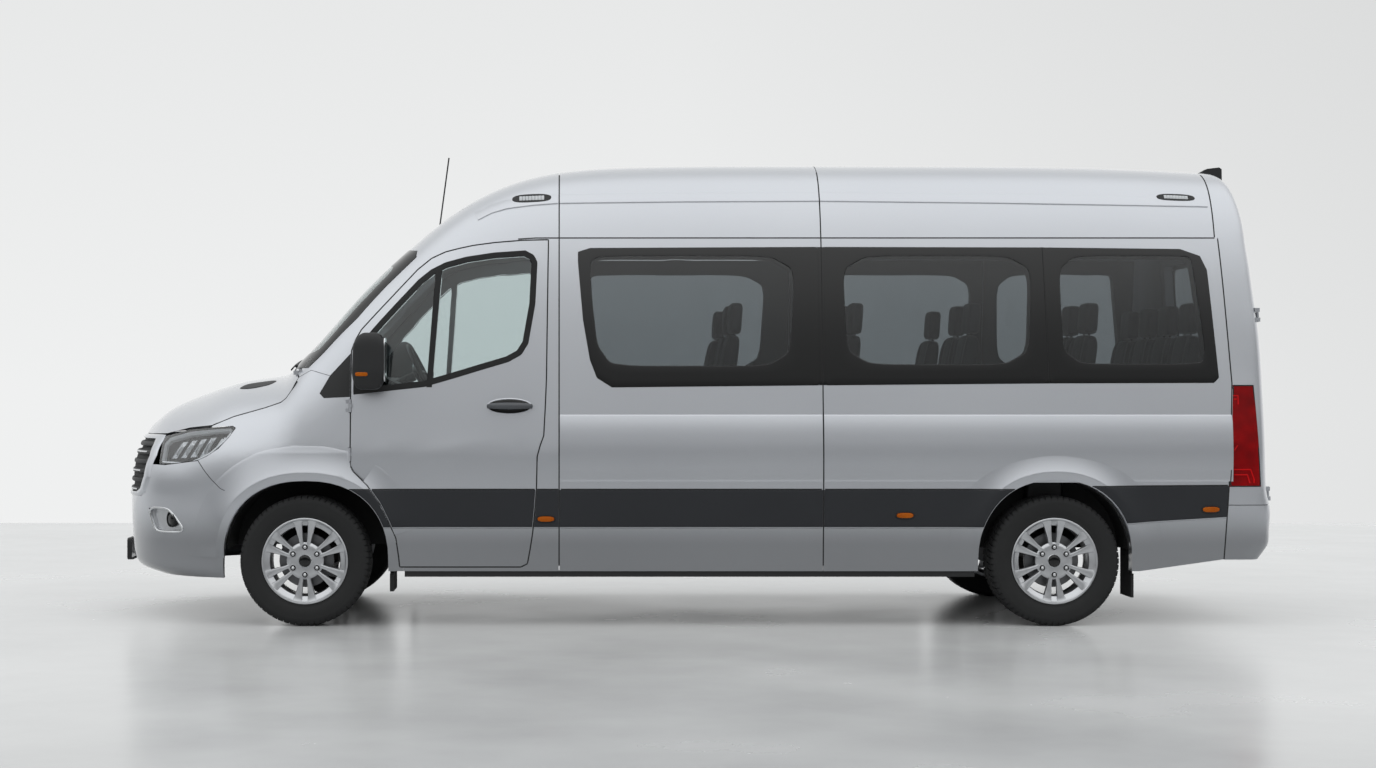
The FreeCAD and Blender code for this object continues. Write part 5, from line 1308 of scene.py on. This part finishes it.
# %% Wipers
blades = []
for y0, y1 in ((-610, 60), (60, 700)):
    path = np.stack([np.linspace(y0, y1, 40), np.linspace(1500, 1560, 40)], 1)
    blades.append(strip(on_screen, path, [(-5, 1.5), (-7, 9), (-2, 14), (3, 14), (7, 9), (5, 1.5)]))
    path = np.stack([np.linspace(y0, y0 + 330, 24), np.linspace(1478, 1532, 24)], 1)
    blades.append(strip(on_screen, path, [(-9, 10), (-8, 18), (8, 18), (9, 10)]))
piece("wiper_blades", blades, grained, "body", node="wipers")
print("wipers made")

# %% [markdown]
# ## Seats
#
# Passenger seats are foam under cloth: a crowned cushion whose front edge rolls down, a back with bolsters at its
# sides, and a separate head pad. Each pad is a soft box whose points are then bent: the crown lifts the middle, the
# bolsters thicken the sides, and two sewn channels draw the cloth in. The pads of all seats make one piece each.


# %% Seat pads
def pad(size, crown, bolster, channels=(-0.27, 0.27), depth=7.0):
    """A soft box with a crowned face: +Z rises by crown in the middle and by bolster at the sides, and falls by
    depth in narrow valleys across the width at the given shares."""
    shape = soft_box(size, 0.38, 26, 56)
    s, t = shape[..., 0] / size[0], shape[..., 1] / size[1]
    upper = np.clip(shape[..., 2] / size[2] * 2, 0, 1) ** 0.5
    rise = crown * np.cos(np.pi * np.clip(s, -0.5, 0.5)) * np.cos(np.pi * np.clip(t, -0.5, 0.5))
    rise = rise + bolster * np.clip((np.abs(t) - 0.28) / 0.14, 0, 1) * np.clip((0.5 - np.abs(t)) / 0.06, 0, 1)
    for c in channels:
        rise = rise - depth * np.exp(-((t - c) * size[1] / 7) ** 2)
    shape[..., 2] += rise * upper
    shape[..., 1] *= 1 - 0.035 * np.cos(2 * np.pi * s) * (np.abs(s) < 0.5)
    return shape


def placed(shape, centre, lean=0.0):
    """The pad turned about Y by an angle in degrees and moved to its place."""
    a = math.radians(lean)
    x = shape[..., 0] * math.cos(a) + shape[..., 2] * math.sin(a)
    z = shape[..., 2] * math.cos(a) - shape[..., 0] * math.sin(a)
    return quads(np.stack([x, shape[..., 1], z], -1) + np.array(centre), True)


def seat_pads(x, y, width, base):
    """Cushion, back and head pad of a seat whose back's foot stands near x."""
    cushion = pad((432, width - 8, 104), 7, 6)
    back = pad((606, width - 10, 84), 5, 9)
    head = pad((182, 246, 74), 4, 0, ())
    return [placed(cushion, (x - 160, y, base + 388), 2), placed(back, (x + 59, y, base + 705), -81.5),
            placed(head, (x + 118, y, base + 1105), -86)]


def seat_base(x, y, base):
    """The box under the cushion and the two rods of the head pad."""
    return [placed(soft_box((220, 290, 326), 0.2, 14, 24), (x - 170, y, base + 165)),
            *[tube([(x + 108, y + s, base + 985), (x + 113, y + s, base + 1040)], 7, 10) for s in (-60, 60)]]


floor_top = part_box("passenger_seats")[0].z * 1000
cab_places = [(1400, -450, 500), (1400, 450, 500)]
rows = [(x, y, 420) for x in (2390, 3100, 3790) for y in (-640, -212, 640)]
rows += [(R + 160, y, 420) for y in (-635, -215, 480)] + [(R + 760, y, 420) for y in (-640, -212, 212, 640)]
for name, places in (("cab", cab_places), ("passenger", rows)):
    pads = [p for x, y, w in places for p in seat_pads(x, y, w, floor_top)]
    made = piece(name + "_seat_pads", pads, cloth, "body", node=name + "_seats", sharp=60)
    piece(name + "_seat_bases", [p for x, y, w in places for p in seat_base(x, y, floor_top)], grained, "body")
print("seats:", len(cab_places) + len(rows))

# %% [markdown]
# ## Lining
#
# Inside, the walls and the window reveals are covered with dark grey moulded panels. Each window's panel is a ring
# from its opening to the next panel. It starts at the glass, runs in through the wall and stands just inside it.

# %% Wall lining
lining = moulded("plastic_abs_lining_dark_grey", "#2c2e31", 0.6, ("#292b2e", "#323437"), 300, None, 2.5, 0.1, 0.1)
panel_ends = {"front": (1474, 2985), "middle": (2993, R - 50), "rear": (R - 46, R + 948)}
lining_parts = []
for name, (pane, opening) in windows.items():
    centre = np.mean(np.array(opening), 0)
    x0, x1 = panel_ends[name]
    inner = by_angle(rounded(opening, 4, 0.13), centre, 240)
    outer = by_angle([(x0, 1180), (x1, 1180), (x1, 2236), (x0, 2236)], centre, 240)
    lining_parts.append(ring(side, grown(inner, -2), outer, [(0.0, -8), (0.0, -84), (0.5, -84), (1.0, -84),
                                                            (1.0, -78), (0.03, -78), (0.012, -8)]))
pair("wall_lining", lining_parts, lining, slot="black_plastic")
print("lining made")

# %% [markdown]
# ## Studio
#
# The photograph's light is a large soft ceiling. A silver wall shows what lies in front of it: seen square on, its
# lower half mirrors the dim room behind the camera and its leaning upper half mirrors the ceiling, which is why the
# body goes from mid grey to nearly white upwards. So the surroundings are a brightness that rises with height on the
# camera's side and is even on the far side, where the pale backdrop stands. What the camera sees directly, or through
# glass, is the backdrop alone.

# %% Floor
floor = bpy.data.objects.new("studio_floor", bpy.data.meshes.new("studio_floor"))
floor.data.from_pydata([(-60, -50, 0), (60, -50, 0), (60, 8.35, 0), (-60, 8.35, 0)], [], [(0, 1, 2, 3)])
bpy.context.scene.collection.objects.link(floor)
concrete, tree, shader, place = finish("concrete_polished_pale", "#c6c7c8", 0.25)
mottled(tree, shader, place, "#adaeaf", "#dcdddd", 1500, 9.0, (0.14, 0.36))
# Painted shade: from 3.6 m to 15 m out on the camera's side, the floor's colour is mixed towards dark grey #5c5e60
away = add(tree, "ShaderNodeSeparateXYZ", {0: place}).outputs["Y"]
near_floor_painted_shade = add(tree, "ShaderNodeMapRange", {"Value": away, "From Min": -3.6, "From Max": -15.0})
mixed = next(link.from_socket for link in tree.links if link.to_socket == shader.inputs["Base Color"])
add(tree, "ShaderNodeMix", {0: near_floor_painted_shade.outputs[0], 6: mixed, 7: linear("#5c5e60")}, shader.inputs["Base Color"],
    data_type="RGBA")
floor.data.materials.append(concrete)
print("floor made")

# %% Surroundings
world = bpy.data.worlds.new("studio")
bpy.context.scene.world = world
world.use_nodes = True
tree = world.node_tree
back = tree.nodes["Background"]
direction = add(tree, "ShaderNodeTexCoord").outputs["Generated"]
parts = add(tree, "ShaderNodeSeparateXYZ", {0: direction}).outputs
room = add(tree, "ShaderNodeFloatCurve", {1: parts["Z"]})
curve = room.mapping.curves[0]
for x, y in ((0.05, 0.08), (0.1, 0.14), (0.2, 0.42), (0.32, 0.8), (0.5, 1.02)):
    curve.points.new(x, y)
curve.points[0].location = (0.0, 0.06)
curve.points[-1].location = (1.0, 1.1)
room.mapping.update()
far_side = add(tree, "ShaderNodeMapRange", {"Value": parts["Y"], "From Min": -0.1, "From Max": 0.45},
               interpolation_type="SMOOTHSTEP")
lit = add(tree, "ShaderNodeMix", {0: far_side.outputs[0], 2: room.outputs[0], 3: 0.68})
level = add(tree, "ShaderNodeMath", {0: lit.outputs[0], 1: 1.32}, operation="MULTIPLY")
# Painted light on the backdrop: brightest low down on the left, up to 11 % darker upwards and 16 % darker to the
# right
backdrop_painted_falloff_up = add(tree, "ShaderNodeMapRange", {"Value": parts["Z"], "From Max": 0.3, "To Min": 0.88, "To Max": 0.78})
backdrop_painted_falloff_right = add(tree, "ShaderNodeMapRange", {"Value": parts["X"], "From Min": 0.05, "From Max": 0.5, "To Min": 1.0,
                                            "To Max": 0.84})
backdrop = add(tree, "ShaderNodeMath", {0: backdrop_painted_falloff_up.outputs[0], 1: backdrop_painted_falloff_right.outputs[0]}, operation="MULTIPLY")
ray = add(tree, "ShaderNodeLightPath").outputs
seen = add(tree, "ShaderNodeMath", {0: ray["Is Camera Ray"], 1: ray["Is Transmission Ray"]}, operation="MAXIMUM")
add(tree, "ShaderNodeMix", {0: seen.outputs[0], 2: level.outputs[0], 3: backdrop.outputs[0]},
    back.inputs["Strength"])
back.inputs["Color"].default_value = linear("#fdfefe")
print("stage ready")
